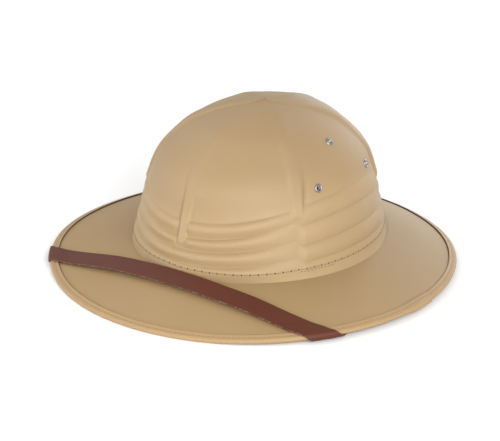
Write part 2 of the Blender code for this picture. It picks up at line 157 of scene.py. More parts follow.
def ramp(value, start, width):
    """0 up to start, 1 from start + width on, and the smooth step between."""
    return smooth_step((value - start) / width)


def bump_at(distance, width):
    """A bell of height 1 at distance 0, exp(-(distance / width)^2)."""
    return np.exp(-(distance / width) ** 2)


def soft_max(first, second, blend):
    """The larger of two values, rounded where they are within blend of each other."""
    mix = np.clip(0.5 + 0.5 * (first - second) / blend, 0.0, 1.0)
    return second + (first - second) * mix + blend * mix * (1.0 - mix)


def unit(vectors):
    """Vectors scaled to length 1."""
    return vectors / np.linalg.norm(vectors, axis=-1, keepdims=True)


def add_mesh_object(name, vertices, faces, uv=None, values=None):
    """An object from vertices and faces, with a UV and named values for each vertex."""
    mesh = bpy.data.meshes.new(name)
    mesh.from_pydata(vertices.tolist(), [], faces)
    if uv is not None:
        corner = np.empty(len(mesh.loops), dtype=np.int32)
        mesh.loops.foreach_get("vertex_index", corner)
        layer = mesh.uv_layers.new(name="cloth")
        layer.data.foreach_set("uv", uv[corner].astype(np.float32).ravel())
    for label, numbers in (values or {}).items():
        attribute = mesh.attributes.new(label, "FLOAT", "POINT")
        attribute.data.foreach_set("value", numbers.astype(np.float32).ravel())
    work = bmesh.new()
    work.from_mesh(mesh)
    bmesh.ops.recalc_face_normals(work, faces=work.faces)
    work.to_mesh(mesh)
    work.free()
    mesh.shade_smooth()
    return add_object(name, mesh)


def ring_quads(rows, columns, loop=False):
    """Quads between rings of points: the corner (row, column) is row x columns + column.

    The last column joins the first, and with loop the last row does too."""
    row, column = np.meshgrid(np.arange(rows if loop else rows - 1), np.arange(columns),
                              indexing="ij")
    below, right = (row + 1) % rows, (column + 1) % columns
    return np.stack([row * columns + column, below * columns + column,
                     below * columns + right, row * columns + right], axis=-1).reshape(-1, 4)


def skin(name, points, uv, values=None, loop=False, caps=False):
    """An object skinned over a grid of points, (rows, columns, 3), whose rows are rings.

    loop joins the last row to the first, and caps closes the first and last rows
    with a fan round their middle point."""
    rows, columns = points.shape[:2]
    faces = ring_quads(rows, columns, loop).tolist()
    vertices = points.reshape(-1, 3)
    flat_uv = uv.reshape(-1, 2)
    flat_values = {label: numbers.reshape(-1) for label, numbers in (values or {}).items()}
    if caps:
        around = np.arange(columns)
        for start in (0, (rows - 1) * columns):
            middle = np.full(columns, len(vertices))
            faces += np.stack([start + around, start + (around + 1) % columns,
                               middle], axis=-1).tolist()
            vertices = np.vstack([vertices, vertices[start:start + columns].mean(axis=0)])
            flat_uv = np.vstack([flat_uv, flat_uv[start:start + columns].mean(axis=0)])
            flat_values = {label: np.append(numbers, numbers[start:start + columns].mean())
                           for label, numbers in flat_values.items()}
    return add_mesh_object(name, vertices, faces, flat_uv, flat_values)


def count_triangles(thing):
    """How many triangles the object's mesh makes."""
    return sum(len(face.vertices) - 2 for face in thing.data.polygons)


print("a grid of 3 rings of 4 points has", len(ring_quads(3, 4)), "quads")

# %% [markdown]
# ## Finishes that several pieces share
# Cloth, tape and thread are all woven, so one node group draws the weave.  It
# takes the cloth's own UV in metres, so its threads have their true width, and
# adds the uneven tone that dyed cloth has.  The group only puts out a colour, a
# roughness and a height.  The shader stays in each material.

# %% Node helpers
def add_node(tree, kind, values=None, **settings):
    """A node of one kind, with its settings and the values of its input sockets."""
    node = tree.nodes.new(kind)
    for label, setting in settings.items():
        setattr(node, label, setting)
    for socket, value in (values or {}).items():
        if hasattr(value, "is_output"):
            tree.links.new(value, node.inputs[socket])
        else:
            node.inputs[socket].default_value = value
    return node


def calculate(tree, operation, first, second=0.0, third=0.0):
    """The result of one Math node on values or sockets."""
    return add_node(tree, "ShaderNodeMath", {0: first, 1: second, 2: third},
                    operation=operation).outputs[0]


def noise(tree, place, scale, detail):
    """The value of a noise texture, which wanders about 0.5."""
    return add_node(tree, "ShaderNodeTexNoise", {
        "Vector": place, "Scale": scale, "Detail": detail}).outputs["Fac"]


def mesh_value(tree, label):
    """A value that the mesh itself holds for each of its points."""
    return add_node(tree, "ShaderNodeAttribute", attribute_name=label).outputs["Fac"]


def bumped(tree, height):
    """The normal of a surface that a height in metres makes uneven."""
    return add_node(tree, "ShaderNodeBump", {
        "Height": height, "Strength": 1.0, "Distance": 1.0}).outputs["Normal"]


def feed(tree, node, sources):
    """Links each source to the node's input socket of that name."""
    for socket, source in sources.items():
        tree.links.new(source, node.inputs[socket])


def mix_colours(tree, share, first, second):
    """The colour between two colours: the first at share 0, the second at share 1."""
    node = add_node(tree, "ShaderNodeMix", {0: share}, data_type="RGBA")
    for socket, colour in ((6, first), (7, second)):
        if hasattr(colour, "is_output"):
            tree.links.new(colour, node.inputs[socket])
        else:
            node.inputs[socket].default_value = (*colour, 1.0)
    return node.outputs[2]


def new_group(name, inputs, outputs):
    """An empty node group with named sockets, and its input and output nodes."""
    tree = bpy.data.node_groups.new(name, "ShaderNodeTree")
    for label, kind, value in inputs:
        socket = tree.interface.new_socket(label, in_out="INPUT", socket_type=kind)
        socket.default_value = value
    for label, kind in outputs:
        tree.interface.new_socket(label, in_out="OUTPUT", socket_type=kind)
    return tree, tree.nodes.new("NodeGroupInput"), tree.nodes.new("NodeGroupOutput")


def new_material(name, sheen=0.0, specular=0.4, metallic=0.0):
    """A material with a Principled shader, and its tree and shader."""
    made = bpy.data.materials.new(name)
    made.use_nodes = True
    shader = made.node_tree.nodes["Principled BSDF"]
    shader.inputs["Metallic"].default_value = metallic
    shader.inputs["Specular IOR Level"].default_value = specular
    shader.inputs["Sheen Weight"].default_value = sheen
    shader.inputs["Sheen Roughness"].default_value = 0.4
    return made, made.node_tree, shader


# %% The weave, as a node group
FIBRE_SCALE, CLOUD_SCALE = 1500.0, 30.0   # how fine the fibres and the uneven tone are
FIBRE_TONE, WEAVE_TONE = 0.16, 0.03       # how much each of them lightens and darkens
ROUGHNESS, FIBRE_ROUGHNESS = 0.50, 0.2
woven, enter, leave = new_group("woven_cloth", [
    ("Cloth Place", "NodeSocketVector", (0.0, 0.0, 0.0)),
    ("Object Place", "NodeSocketVector", (0.0, 0.0, 0.0)),
    ("Colour", "NodeSocketColor", (0.5, 0.4, 0.3, 1.0)),
    ("Shade", "NodeSocketColor", (0.3, 0.2, 0.1, 1.0)),
    ("Shading", "NodeSocketFloat", 0.0),
    ("Thread Pitch", "NodeSocketFloat", 0.0005),
    ("Thread Depth", "NodeSocketFloat", 0.00005),
    ("Unevenness", "NodeSocketFloat", 0.04),
], [("Colour", "NodeSocketColor"), ("Roughness", "NodeSocketFloat"),
    ("Height", "NodeSocketFloat")])
place = add_node(woven, "ShaderNodeSeparateXYZ", {0: enter.outputs["Cloth Place"]})
rate = calculate(woven, "DIVIDE", TURN, enter.outputs["Thread Pitch"])
warp = calculate(woven, "SINE", calculate(woven, "MULTIPLY", place.outputs["X"], rate))
weft = calculate(woven, "SINE", calculate(woven, "MULTIPLY", place.outputs["Y"], rate))
weave = calculate(woven, "MULTIPLY", warp, weft)
around_spot = enter.outputs["Object Place"]
fibre = calculate(woven, "SUBTRACT", noise(woven, around_spot, FIBRE_SCALE, 2.0), 0.5)
cloud = calculate(woven, "SUBTRACT", noise(woven, around_spot, CLOUD_SCALE, 3.0), 0.5)
relief = calculate(woven, "ADD", calculate(woven, "MULTIPLY", weave, 0.5), fibre)
tone = calculate(woven, "MULTIPLY_ADD", cloud, enter.outputs["Unevenness"], 1.0)
tone = calculate(woven, "MULTIPLY_ADD", fibre, FIBRE_TONE, tone)
tone = calculate(woven, "MULTIPLY_ADD", weave, WEAVE_TONE, tone)
# the Shading input moves the colour towards the shade colour: painted shade on the crown, and on
# the tape its brown edge with painted shadow
shaded = mix_colours(woven, enter.outputs["Shading"], enter.outputs["Colour"],
                     enter.outputs["Shade"])
toned = add_node(woven, "ShaderNodeVectorMath", {
    0: shaded, "Scale": tone}, operation="SCALE")
feed(woven, leave, {
    "Colour": toned.outputs[0],
    "Roughness": calculate(woven, "MULTIPLY_ADD", fibre, FIBRE_ROUGHNESS, ROUGHNESS),
    "Height": calculate(woven, "MULTIPLY", relief, enter.outputs["Thread Depth"])})
print("woven_cloth has", len(woven.nodes), "nodes")

# %% [markdown]
# ## The hat's sizes
# All lengths are in metres.  They repeat the CAD model's own values, because this
# file can't read it: the brim's oval, the crown's oval at its seam, its outline
# from the seam to the top, and how high each moulded crease runs.

# %% Sizes of the crown and the brim
BRIM_WIDTH, BRIM_LENGTH, BRIM_THICK = 0.3115, 0.309, 0.0015
BRIM_ROUND = 0.20
EDGE_LIFT = 0.0026
STRAP_PULL, PULL_SPREAD = math.radians(-62.0), math.radians(24.0)
FLAT_HALF_ANGLE = math.radians(20.0)
GAP = 0.0003

CROWN_LENGTH, CROWN_WIDTH = 0.2068, 0.1846
CROWN_BACK, CROWN_LEAN = 0.0096, 0.0058
CROWN_WALL = 0.0022
FOOT_Z, SEAM_RISE, FOOT_FLARE = 0.0200, 0.0065, 0.0015
SEAM_Z = FOOT_Z + SEAM_RISE
CROWN_PROFILE = np.array([
    # height over the seam, reach as a share of the seam's oval
    (0.0000, 1.000), (0.0195, 0.942), (0.0390, 0.894), (0.0586, 0.819), (0.0730, 0.700),
    (0.0845, 0.557), (0.0921, 0.354), (0.0954, 0.190), (0.0968, 0.000)])
CROWN_HEIGHT = CROWN_PROFILE[-1, 0]
CREASES = (
    # height over the seam: at the front, coming to and leaving the side rib, at the side
    (0.0325, 0.0430, 0.0438, 0.0472), (0.0209, 0.0345, 0.0300, 0.0336),
    (0.0121, 0.0209, 0.0158, 0.0181), (0.0022, 0.0084, 0.0040, 0.0053))
CREASE_SWEEP, SWEEP_LIMIT = 2.2, 1.02     # the power of its sweep, and how far past the rib
SIDE_SINE = math.sin(math.radians(60.0))  # of the side ribs' angle
CREASE_STEP, STEP_WIDTH = 0.824, 0.05     # sine of the angle where the creases step, and over

TAPE_LEG, TAPE_THICK = 0.0048, 0.0008
NOSE = BRIM_THICK / 2.0 + GAP + TAPE_THICK
EDGE_HALF_WIDTH = BRIM_WIDTH / 2.0 - 0.85 * NOSE
EDGE_HALF_LENGTH = BRIM_LENGTH / 2.0 - 0.85 * NOSE
EDGE_TOP_Z = NOSE + 0.95 * BRIM_THICK / 2.0
FOOT_HALF_WIDTH = CROWN_WIDTH / 2.0 + FOOT_FLARE
FOOT_HALF_LENGTH = CROWN_LENGTH / 2.0 + FOOT_FLARE
BRIM_RUN = EDGE_HALF_WIDTH - FOOT_HALF_WIDTH
print("crown foot", round(1000 * CROWN_LENGTH), "x", round(1000 * CROWN_WIDTH), "mm")

# %% [markdown]
# ## The crown's plain form
# Without its ribs and folds the crown is an oval that shrinks with height.  Its
# outline is a smooth curve through nine points, worked out once.  Angle and
# height over the seam are the two parameters, so the whole form is one formula.

# %% The crown's outline and plain surface
def crown_outline(per_span=30):
    """Heights and reaches of a Catmull-Rom curve through the outline's points.

    0.5 (2b + (c - a) t + (2a - 5b + 4c - d) t^2 + (3b - a - 3c + d) t^3) between
    points b and c, with a before and d after.  The last point but one is mirrored
    over the axis, so the curve arrives at the top level."""
    scale = np.array([1.0, CROWN_LENGTH / 2.0])
    path = np.vstack([2.0 * CROWN_PROFILE[0] - CROWN_PROFILE[1], CROWN_PROFILE,
                      CROWN_PROFILE[-2] * [1.0, -1.0]]) * scale
    a, b, c, d = (path[i:len(path) - 3 + i, None, :] for i in range(4))
    t = np.linspace(0.0, 1.0, per_span, endpoint=False)[None, :, None]
    curve = 0.5 * (2.0 * b + (c - a) * t + (2.0 * a - 5.0 * b + 4.0 * c - d) * t ** 2
                   + (3.0 * b - a - 3.0 * c + d) * t ** 3)
    curve = np.vstack([curve.reshape(-1, 2), path[-2:-1]]) / scale
    return curve[:, 0], curve[:, 1]


OUTLINE_HEIGHT, OUTLINE_REACH = crown_outline()


def reach_at(height):
    """The outline's reach at a height, a share of the seam's oval."""
    return np.interp(height, OUTLINE_HEIGHT, OUTLINE_REACH)


def crown_base(angle, height, reach=None):
    """Plain crown: (half width r sin a, back - half length r cos a, seam + height)."""
    if reach is None:
        reach = reach_at(height)
    x = CROWN_WIDTH / 2.0 * reach * np.sin(angle)
    y = (CROWN_BACK + CROWN_LEAN * (height / CROWN_HEIGHT) ** 2
         - CROWN_LENGTH / 2.0 * reach * np.cos(angle))
    return np.stack([x, y, SEAM_Z + height + 0.0 * x], axis=-1)


def crown_normal(angle, height):
    """Outward unit normals of the plain crown, from its outline's local slope."""
    step = 0.0008
    drop = reach_at(height - step) - reach_at(height + step)
    rise = (np.clip(height + step, 0.0, CROWN_HEIGHT)
            - np.clip(height - step, 0.0, CROWN_HEIGHT))
    width, length = CROWN_WIDTH / 2.0, CROWN_LENGTH / 2.0
    across = width * length / (width + length) * 2.0
    return unit(np.stack([np.sin(angle) * length / across, -np.cos(angle) * width / across,
                          drop / rise * across + 0.0 * angle], axis=-1))


def crease_height(index, angle):
    """A crease's height over the seam, from u = |sin a| and v, its value at a side rib.

    It is front + (coming - front) (u / v)^2.2 up to the rib.  Past it the height is
    leaving + (side - leaving) (u - v) / (1 - v), and the two are blended there."""
    front, coming, leaving, side = CREASES[index]
    across = np.abs(np.sin(angle))
    before = front + (coming - front) * np.minimum(across / SIDE_SINE, SWEEP_LIMIT) ** CREASE_SWEEP
    after = leaving + (side - leaving) * (across - SIDE_SINE) / (1.0 - SIDE_SINE)
    return before + (after - before) * ramp(across, CREASE_STEP, STEP_WIDTH)


print("the outline has", len(OUTLINE_HEIGHT), "points")

# %% [markdown]
# ## Ribs, folds and seam
# The ribs are flat bands that stand out from the panels low down and die away
# towards the top.  Every second panel meets its ribs in a sharp pressed groove, and
# the panels between slope up to them softly.  Between two creases the cloth swells
# in a roll.  Where a rib meets the folds, the larger of the two reliefs wins, with
# the change rounded, so a rib runs out into the crest of a fold.

# %% Relief of the crown's cloth
PANELS = 6
PITCH = TURN / PANELS
RIB_ANGLES = np.radians([0.7, 57.4, 128.0, 180.0, 240.0, 302.0, 360.7])   # the first twice
RIB_HALF = 0.0029
RIB_HEIGHT = 0.0018
RIB_FADES = np.array([0.75, 0.75, 0.15])  # share of its height each rib loses to the top
RIB_SOFT, RIB_SHARP, RIB_SOFT_TOP = 0.0036, 0.0014, 0.0065   # widths of its sloping sides
RIB_WIDENS = (0.035, 0.05)                # height where a change starts, and its length
RIB_DIES, GROOVE_DIES = (0.045, 0.040), (0.045, 0.030)
RIB_RUN_OUT, GROOVE_RUN_OUT = 0.6, 0.003  # share of a fold, and metres over its crease
AXIS_EXTRA = 1.2                          # how much sooner the axis ribs' grooves are full
ON_AXIS = math.sin(math.radians(30.0))    # ribs nearer the axis than this are front or back
FOLD_DEPTH, FOLD_STEEPNESS = 0.0021, 0.27
FOLD_SHARES = np.array([
    # degrees from the front towards the wearer's left, share of the folds' depth
    (-180.0, 1.0), (-150.0, 1.0), (-128.0, 0.7), (-125.0, 0.3), (-118.0, 0.3), (-114.0, 0.6),
    (-66.0, 0.6), (-62.0, 0.3), (-55.0, 0.3), (-50.0, 0.5), (-25.0, 0.6), (-15.0, 1.1),
    (0.0, 1.3), (33.0, 1.3), (42.0, 0.95), (50.0, 0.6), (57.0, 0.25), (58.5, 0.4),
    (60.5, 0.8), (69.0, 0.9), (90.0, 0.8), (108.0, 0.65), (116.0, 0.4), (119.0, 0.2),
    (126.0, 0.2), (130.0, 0.5), (150.0, 1.0), (180.0, 1.0)])
FOLD_FRONT, FOLD_SIDE = 0.95, 0.75        # powers that make a fold round, or flat
FOLD_LEAN = 1.45                          # above 1 a fold is fullest near its upper crease
FOLD_BLEND = 0.0004                       # where a fold and a rib meet
FOLD_START = (0.0026, 0.0036)             # from a rib's middle, and the length of its end
LOW_FOLD_MIDDLE, LOW_FOLD_HALF, LOW_FOLD_FADE = 30.0, 25.0, 12.0    # degrees
LOW_FOLD_LOSS = 0.55                      # share of its depth that it loses beyond them
PILLOW, PILLOW_SIDE = 0.0020, 0.0006      # a panel's swell over its lower crease
PILLOW_RISE, PILLOW_DIES = 0.026, (0.045, 0.045)
PANEL_TUCK, TUCK_HEIGHT, TUCK_ONSET = 0.0014, 0.024, (-0.0004, 0.0026)
TUCK_TURNS, TUCK_SHARES = (0.0, 10.0, 20.0, 32.0, 46.0), (0.9, 1.0, 0.7, 0.35, 0.0)
PANEL_FLAT, FLAT_FROM = 0.35, (0.052, 0.040)   # 1 would make the crown's top six-sided
GROOVE, GROOVE_WIDTH = 0.0008, 0.0014
SEAM_GROOVE, SEAM_GROOVE_WIDTH = 0.00012, 0.0010
PRESS, PRESS_ANGLE, PRESS_SPREAD = 0.0010, math.radians(127.0), math.radians(26.0)
PRESS_DIES = (0.005, 0.035)

# Painted shade: how far the cloth's colour goes towards the shade colour, here and there
CREASE_SHADE, GROOVE_SHADE, TUCK_SHADE, SEAM_SHADE = 0.2, 0.2, 0.2, 0.3
CREASE_DARK, SEAM_DARK = 0.0011, 0.0007   # half widths of the darkened lines
# painted shade over the panels, so that the folds stay the palest part
PANEL_SHADE, PANEL_SHADE_FROM = 0.55, (-0.004, 0.014)   # the panels, against the folds


def true_angle(even):
    """The hat's angle for an angle measured as if the ribs were evenly spaced."""
    return np.interp(even, PITCH * np.arange(PANELS + 1), RIB_ANGLES)


def rib_offset(even):
    """Signed even angle from the middle line of the nearest rib."""
    return (even + PITCH / 2.0) % PITCH - PITCH / 2.0


def signed(angle):
    """The same angle between half a turn back and half a turn on."""
    return (angle + math.pi) % TURN - math.pi


def mean_radius(reach):
    """Mean radius of the oval at a reach."""
    return 0.25 * (CROWN_LENGTH + CROWN_WIDTH) * reach


def from_rib(even, reach):
    """Distance from the nearest rib's middle line: mean radius x |sin of the offset|."""
    return mean_radius(reach) * np.abs(np.sin(rib_offset(even)))


def is_sharp(even):
    """1 in every second panel, which meets its ribs in a groove, else 0."""
    return np.floor(even / PITCH) % 2.0


def rib_softness(height, sharp):
    """Width of a rib's sloping side, growing from low on the crown to its top."""
    low = RIB_SOFT + (RIB_SHARP - RIB_SOFT) * sharp
    return low + (RIB_SOFT_TOP - low) * ramp(height, *RIB_WIDENS)


def rib_end(angle, height):
    """0 to 1 over the crest that a rib runs out in, and over the crease above it.

    Ribs at the front and back run out in the second fold, the others in the first."""
    on_axis = np.abs(np.sin(angle)) < ON_AXIS
    upper = np.where(on_axis, crease_height(1, angle), crease_height(0, angle))
    lower = np.where(on_axis, crease_height(2, angle), crease_height(1, angle))
    return (ramp(height, lower, RIB_RUN_OUT * (upper - lower)),
            smooth_step((height - upper) / GROOVE_RUN_OUT + np.where(on_axis, AXIS_EXTRA, 0.0)))


def rib_relief(even, height, reach):
    """Rib: height x smooth step of the distance in from the foot of its side."""
    distance = from_rib(even, reach)
    sharp = is_sharp(even)
    soft = rib_softness(height, sharp)
    side = smooth_step((RIB_HALF + soft - distance) / soft)
    band_end, groove_end = rib_end(true_angle(even), height)
    rib = np.round(even / PITCH).astype(int) % len(RIB_FADES)
    fade = 1.0 - RIB_FADES[rib] * ramp(height, *RIB_DIES)
    groove = (bump_at(distance - RIB_HALF - soft, GROOVE_WIDTH) * sharp * groove_end
              * (1.0 - ramp(height, *GROOVE_DIES)))
    return RIB_HEIGHT * side * band_end * fade, groove


def by_angle(table, angle):
    """A table's value for angles, its first column in degrees from -180 to 180."""
    return np.interp((np.degrees(angle) + 180.0) % 360.0 - 180.0, table[:, 0], table[:, 1])


def fold_strength(angle, lowest=False):
    """Share of the folds' depth at an angle; the lowest is weaker off the front."""
    away = np.abs(np.degrees(angle + math.pi) % 360.0 - 180.0 - LOW_FOLD_MIDDLE)
    off_front = ramp(away, LOW_FOLD_HALF, LOW_FOLD_FADE)
    return by_angle(FOLD_SHARES, angle) * (1.0 - LOW_FOLD_LOSS * off_front * lowest)


def fold_start(even, height):
    """0 to 1 over a fold's rounded end beside the front and back ribs."""
    beside = np.round(even / PITCH).astype(int) % 3 == 0
    return np.where(beside, ramp(from_rib(even, reach_at(height)), *FOLD_START), 1.0)


def fold_relief(angle, width, share, lowest=False):
    """Roll between two creases: depth sin(pi s^q)^p, s from crease to crease.

    The power p goes from FOLD_FRONT, a wave, to FOLD_SIDE, a pleat, with |sin a|,
    and q, FOLD_LEAN, moves the fullest place up.  The lowest roll is full at the
    seam, so it runs on into the foot."""
    steep = FOLD_STEEPNESS * (2.0 if lowest else 1.0)
    depth = np.minimum(FOLD_DEPTH, steep * width) * fold_strength(angle, lowest)
    across = np.abs(np.sin(angle)) ** 1.5
    power = FOLD_FRONT + (FOLD_SIDE - FOLD_FRONT) * across
    phase = (0.5 + 0.5 * share if lowest
             else share ** (FOLD_LEAN + (1.0 - FOLD_LEAN) * across))
    return depth * np.clip(np.sin(math.pi * phase), 0.0, 1.0) ** power


def seam_relief(angle):
    """How far the lowest roll stands out at the seam."""
    return fold_relief(angle, crease_height(len(CREASES) - 1, angle), 0.0, lowest=True)


def pressed_in(angle, height):
    """The low crown's lean inwards behind the wearer's left: bell x (1 - smooth step)."""
    return (PRESS * bump_at(signed(angle - PRESS_ANGLE), PRESS_SPREAD)
            * (1.0 - ramp(height, *PRESS_DIES)))


def panel_tuck(angle, height, bottom):
    """Share of the tuck that draws a panel in over its crease: (1 - t)^2 going up.

    It is full beside the front and back ribs, and gone 46 degrees from them."""
    off_axis = np.degrees(np.arcsin(np.clip(np.abs(np.sin(angle)), 0.0, 1.0)))
    over = height - bottom
    return (np.interp(off_axis, TUCK_TURNS, TUCK_SHARES)
            * np.clip(1.0 - over / TUCK_HEIGHT, 0.0, 1.0) ** 2 * ramp(over, *TUCK_ONSET))


def panel_pillow(angle, height, bottom):
    """A panel's swell: up from its lower crease, and back by the top, less the tuck."""
    depth = PILLOW + (PILLOW_SIDE - PILLOW) * np.abs(np.sin(angle))
    return (depth * ramp(height, bottom, PILLOW_RISE) * (1.0 - ramp(height, *PILLOW_DIES))
            - PANEL_TUCK * panel_tuck(angle, height, bottom))


def panel_reach(even, height, reach):
    """The reach, drawn in between the ribs towards the six-sided form."""
    between = np.abs(np.abs(rib_offset(even)) - PITCH / 2.0)
    chord = 1.0 - math.cos(PITCH / 2.0) / np.cos(between)
    return reach * (1.0 - PANEL_FLAT * ramp(height, *FLAT_FROM) * chord)


print("a fold at the front stands out", round(1000.0 * FOLD_DEPTH * float(fold_strength(0.0)), 1),
      "mm")

# %% Rows and columns of the crown's grid
SIDE_COLUMNS, MIDDLE_COLUMNS = 9, 35
PAST_FOOT, WIDEST_SIDE = 0.0010, 0.40 * PITCH   # how far the close columns beside a rib go
FOLD_ROWS, PANEL_ROWS, INNER_ROWS = 18, 70, 36
FOLD_REACH = 0.95                 # mean reach of the outline over the folds
LAST_ROW = 0.99                   # the rows stop this near the top, where a cap closes them


def crown_columns(reach, height):
    """Even angles of the columns in each row, kept close along the ribs' sides.

    Each pitch has SIDE_COLUMNS between a rib's middle and just past its foot."""
    near = np.arange(SIDE_COLUMNS) / SIDE_COLUMNS
    far = np.linspace(0.0, 1.0, MIDDLE_COLUMNS)
    panels = []
    for panel in range(PANELS):
        past = RIB_HALF + rib_softness(height, panel % 2) + PAST_FOOT
        side = np.minimum(past / mean_radius(np.maximum(reach, 1e-3)), WIDEST_SIDE)
        panels.append(PITCH * panel + np.concatenate([
            side * near, side + (PITCH - 2.0 * side) * far, PITCH - side * near[:0:-1]],
            axis=1))
    return np.concatenate(panels, axis=1)


FOLD_COLUMNS = crown_columns(np.full((1, 1), FOLD_REACH), np.zeros((1, 1)))


def row_lifts(count):
    """Shares of the height for rows that crowd towards the top: sin(pi t / 2)."""
    return np.sin(math.pi / 2.0 * np.linspace(0.0, LAST_ROW, count)[:, None])


def folds_rows():
    """Rows over the four folds, from the seam up: even angle, height, relief, painted crease
    shade.
    """
    even, angle = FOLD_COLUMNS, true_angle(FOLD_COLUMNS)
    share = 0.5 - 0.5 * np.cos(math.pi * np.linspace(0.0, 1.0, FOLD_ROWS + 1))[1:, None]
    parts = []
    low = np.zeros_like(angle)
    for index in reversed(range(len(CREASES))):
        high = crease_height(index, angle)
        height = low + (high - low) * share
        lowest = index == len(CREASES) - 1
        relief = fold_relief(angle, high - low, share, lowest)
        if index < 2:
            relief = relief * fold_start(even, height)
        near = (1.0 - share if lowest else np.minimum(share, 1.0 - share)) * (high - low)
        clear = np.minimum(2.0 * fold_strength(angle, lowest), 1.0)
        # painted shade along each crease
        parts.append((even + 0.0 * height, height, relief,
                      CREASE_SHADE * clear * bump_at(near, CREASE_DARK)))
        low = high
    return [np.concatenate(column) for column in zip(*parts)]


def panel_rows():
    """Rows over the panels, from the first crease to the top: as folds_rows."""
    lift = row_lifts(PANEL_ROWS + 1)[1:]
    level = CREASES[0][0] + (CROWN_HEIGHT - CREASES[0][0]) * lift
    even = crown_columns(reach_at(level), level)
    angle = true_angle(even)
    bottom = crease_height(0, angle)
    height = bottom + (CROWN_HEIGHT - bottom) * lift
    # painted shade along the panel's lower crease and over its tuck
    shade = (CREASE_SHADE * bump_at(height - bottom, CREASE_DARK)
             + TUCK_SHADE * panel_tuck(angle, height, bottom))
    return even, height, panel_pillow(angle, height, bottom), shade


def crown_outside():
    """Points, even angles and painted shade of the crown's outside, from the seam up."""
    even, height, fold, painted_shade = (np.concatenate(both) for both in
                                  zip(folds_rows(), panel_rows()))
    angle = true_angle(even)
    reach = reach_at(height)
    rib, groove = rib_relief(even, height, reach)
    relief = (soft_max(fold, rib, FOLD_BLEND) - GROOVE * groove
              - SEAM_GROOVE * bump_at(height, SEAM_GROOVE_WIDTH) - pressed_in(angle, height))
    over_crease = rib / RIB_HEIGHT
    # painted shade in the creases, the grooves beside the ribs, along the seam and over the panels
    shade = np.maximum(painted_shade * (1.0 - over_crease), GROOVE_SHADE * groove)
    shade = np.maximum(shade, SEAM_SHADE * bump_at(height, SEAM_DARK))
    shade += PANEL_SHADE * ramp(height - crease_height(0, angle), *PANEL_SHADE_FROM)
    points = (crown_base(angle, height, panel_reach(even, height, reach))
              + crown_normal(angle, height) * relief[..., None])
    return points, even, shade


print("columns:", FOLD_COLUMNS.shape[1])

# %% [markdown]
# ## The crown's foot, and its inside
# Below the stitches the cloth runs on as a short flared band, and its hem is
# turned under.  The wall has a smooth inside, a little over 2 mm further in.  All
# of it is one grid: from the top down the outside, round the hem, up the inside.

# %% The crown as one closed shell
FOOT_ROWS, HEM_ROWS, ROW_CROWDING = 16, 5, 0.8
HEM_RADIUS, HEM_UNDER, HEM_CLEAR = 0.00010, 0.0004, 0.00003
FOOT_CURVE, FOOT_LIP = 1.3, 0.00025
FOOT_DROP = SEAM_RISE + GAP - HEM_CLEAR   # down to just over the brim's face
FLARE_STEPS = (-8.0, -4.0, 0.0, 4.0, 8.0)
FOOT_FLARES = np.array([
    # degrees from the front towards the wearer's left, how far the foot stands out
    (-180.0, 0.0012), (-127.0, 0.0008), (-60.0, 0.0013), (0.0, 0.0015), (37.0, 0.0015),
    (55.0, 0.0022), (75.0, 0.0036), (97.0, 0.0038), (110.0, 0.0022), (124.0, -0.0002),
    (135.0, -0.0002), (155.0, 0.0006), (180.0, 0.0012)])
BRIM_FALL = (1.0 - BRIM_ROUND) * (FOOT_Z - GAP - EDGE_TOP_Z) / BRIM_RUN


def foot_flare(angle):
    """How far the foot's hem stands out: the table's smooth mean over 16 degrees."""
    return sum(by_angle(FOOT_FLARES, angle + math.radians(step))
               for step in FLARE_STEPS) / len(FLARE_STEPS)


def foot_fall(angle):
    """How much lower the hem lies where it stands out further along the sloping brim."""
    return BRIM_FALL * np.maximum(foot_flare(angle) + FOOT_LIP - FOOT_FLARE, 0.0)


def foot_place(angle, share):
    """How far out and down the foot is: from the roll's relief to the flare with
    s^1.3, and a lip, s^8, at the hem."""
    relief = seam_relief(angle) - pressed_in(angle, 0.0)
    out = relief + (foot_flare(angle) - relief) * share ** FOOT_CURVE + FOOT_LIP * share ** 8
    drop = share * (FOOT_DROP + foot_fall(angle))
    return out - SEAM_GROOVE * bump_at(drop, SEAM_GROOVE_WIDTH), drop


def foot_surface(angle, out, drop):
    """The seam's oval moved level by out and down by drop, and its level normals."""
    level = crown_normal(angle, 0.0 * angle) * [1.0, 1.0, 0.0]
    points = crown_base(angle, 0.0 * angle) + level * out[..., None]
    points[..., 2] = SEAM_Z - drop
    return points, level


def crown_foot(angle):
    """Rows of the foot from the seam down, round its hem and in over the brim.

    Each row is the seam's oval moved out and down, then a quarter circle of the
    hem's radius, and one row where the hem ends on the brim's level part."""
    share = np.linspace(0.0, 1.0, FOOT_ROWS)[:, None] ** ROW_CROWDING
    turn = np.linspace(0.0, math.pi / 2.0, HEM_ROWS)[1:, None]
    out, drop = foot_place(angle, share)
    drop = drop - HEM_RADIUS * share
    under = np.minimum(out[-1:] - HEM_RADIUS, FOOT_FLARE - HEM_UNDER)
    out = np.concatenate([out, out[-1:] - HEM_RADIUS * (1.0 - np.cos(turn)), under])
    drop = np.concatenate([drop, drop[-1:] + HEM_RADIUS * np.sin(turn),
                           FOOT_DROP + 0.0 * under])
    # the foot's points, and painted shade along the seam
    return foot_surface(angle, out, drop)[0], SEAM_SHADE * bump_at(drop, SEAM_DARK)


def crown_inside():
    """Rows of the smooth inside, from the foot up to the top, with their angles."""
    height = CROWN_HEIGHT * row_lifts(INNER_ROWS)
    even = crown_columns(reach_at(height), height)
    angle, height = true_angle(even), height + 0.0 * even
    points = crown_base(angle, height) - crown_normal(angle, height) * CROWN_WALL
    foot = points[:1].copy()
    foot[..., 2] = SEAM_Z - FOOT_DROP
    return np.concatenate([foot, points]), np.concatenate([even[:1], even])


def panel_cloth_uv(points, even):
    """UV in metres: distance from the panel's middle line, and length along it."""
    radius = np.hypot(points[..., 0], points[..., 1] - CROWN_BACK)
    across = radius * (PITCH / 2.0 - np.abs(rib_offset(even)))
    steps = np.linalg.norm(np.diff(points, axis=0, prepend=points[:1]), axis=-1)
    return np.stack([across, np.cumsum(steps.mean(axis=1))[:, None] + 0.0 * across], axis=-1)


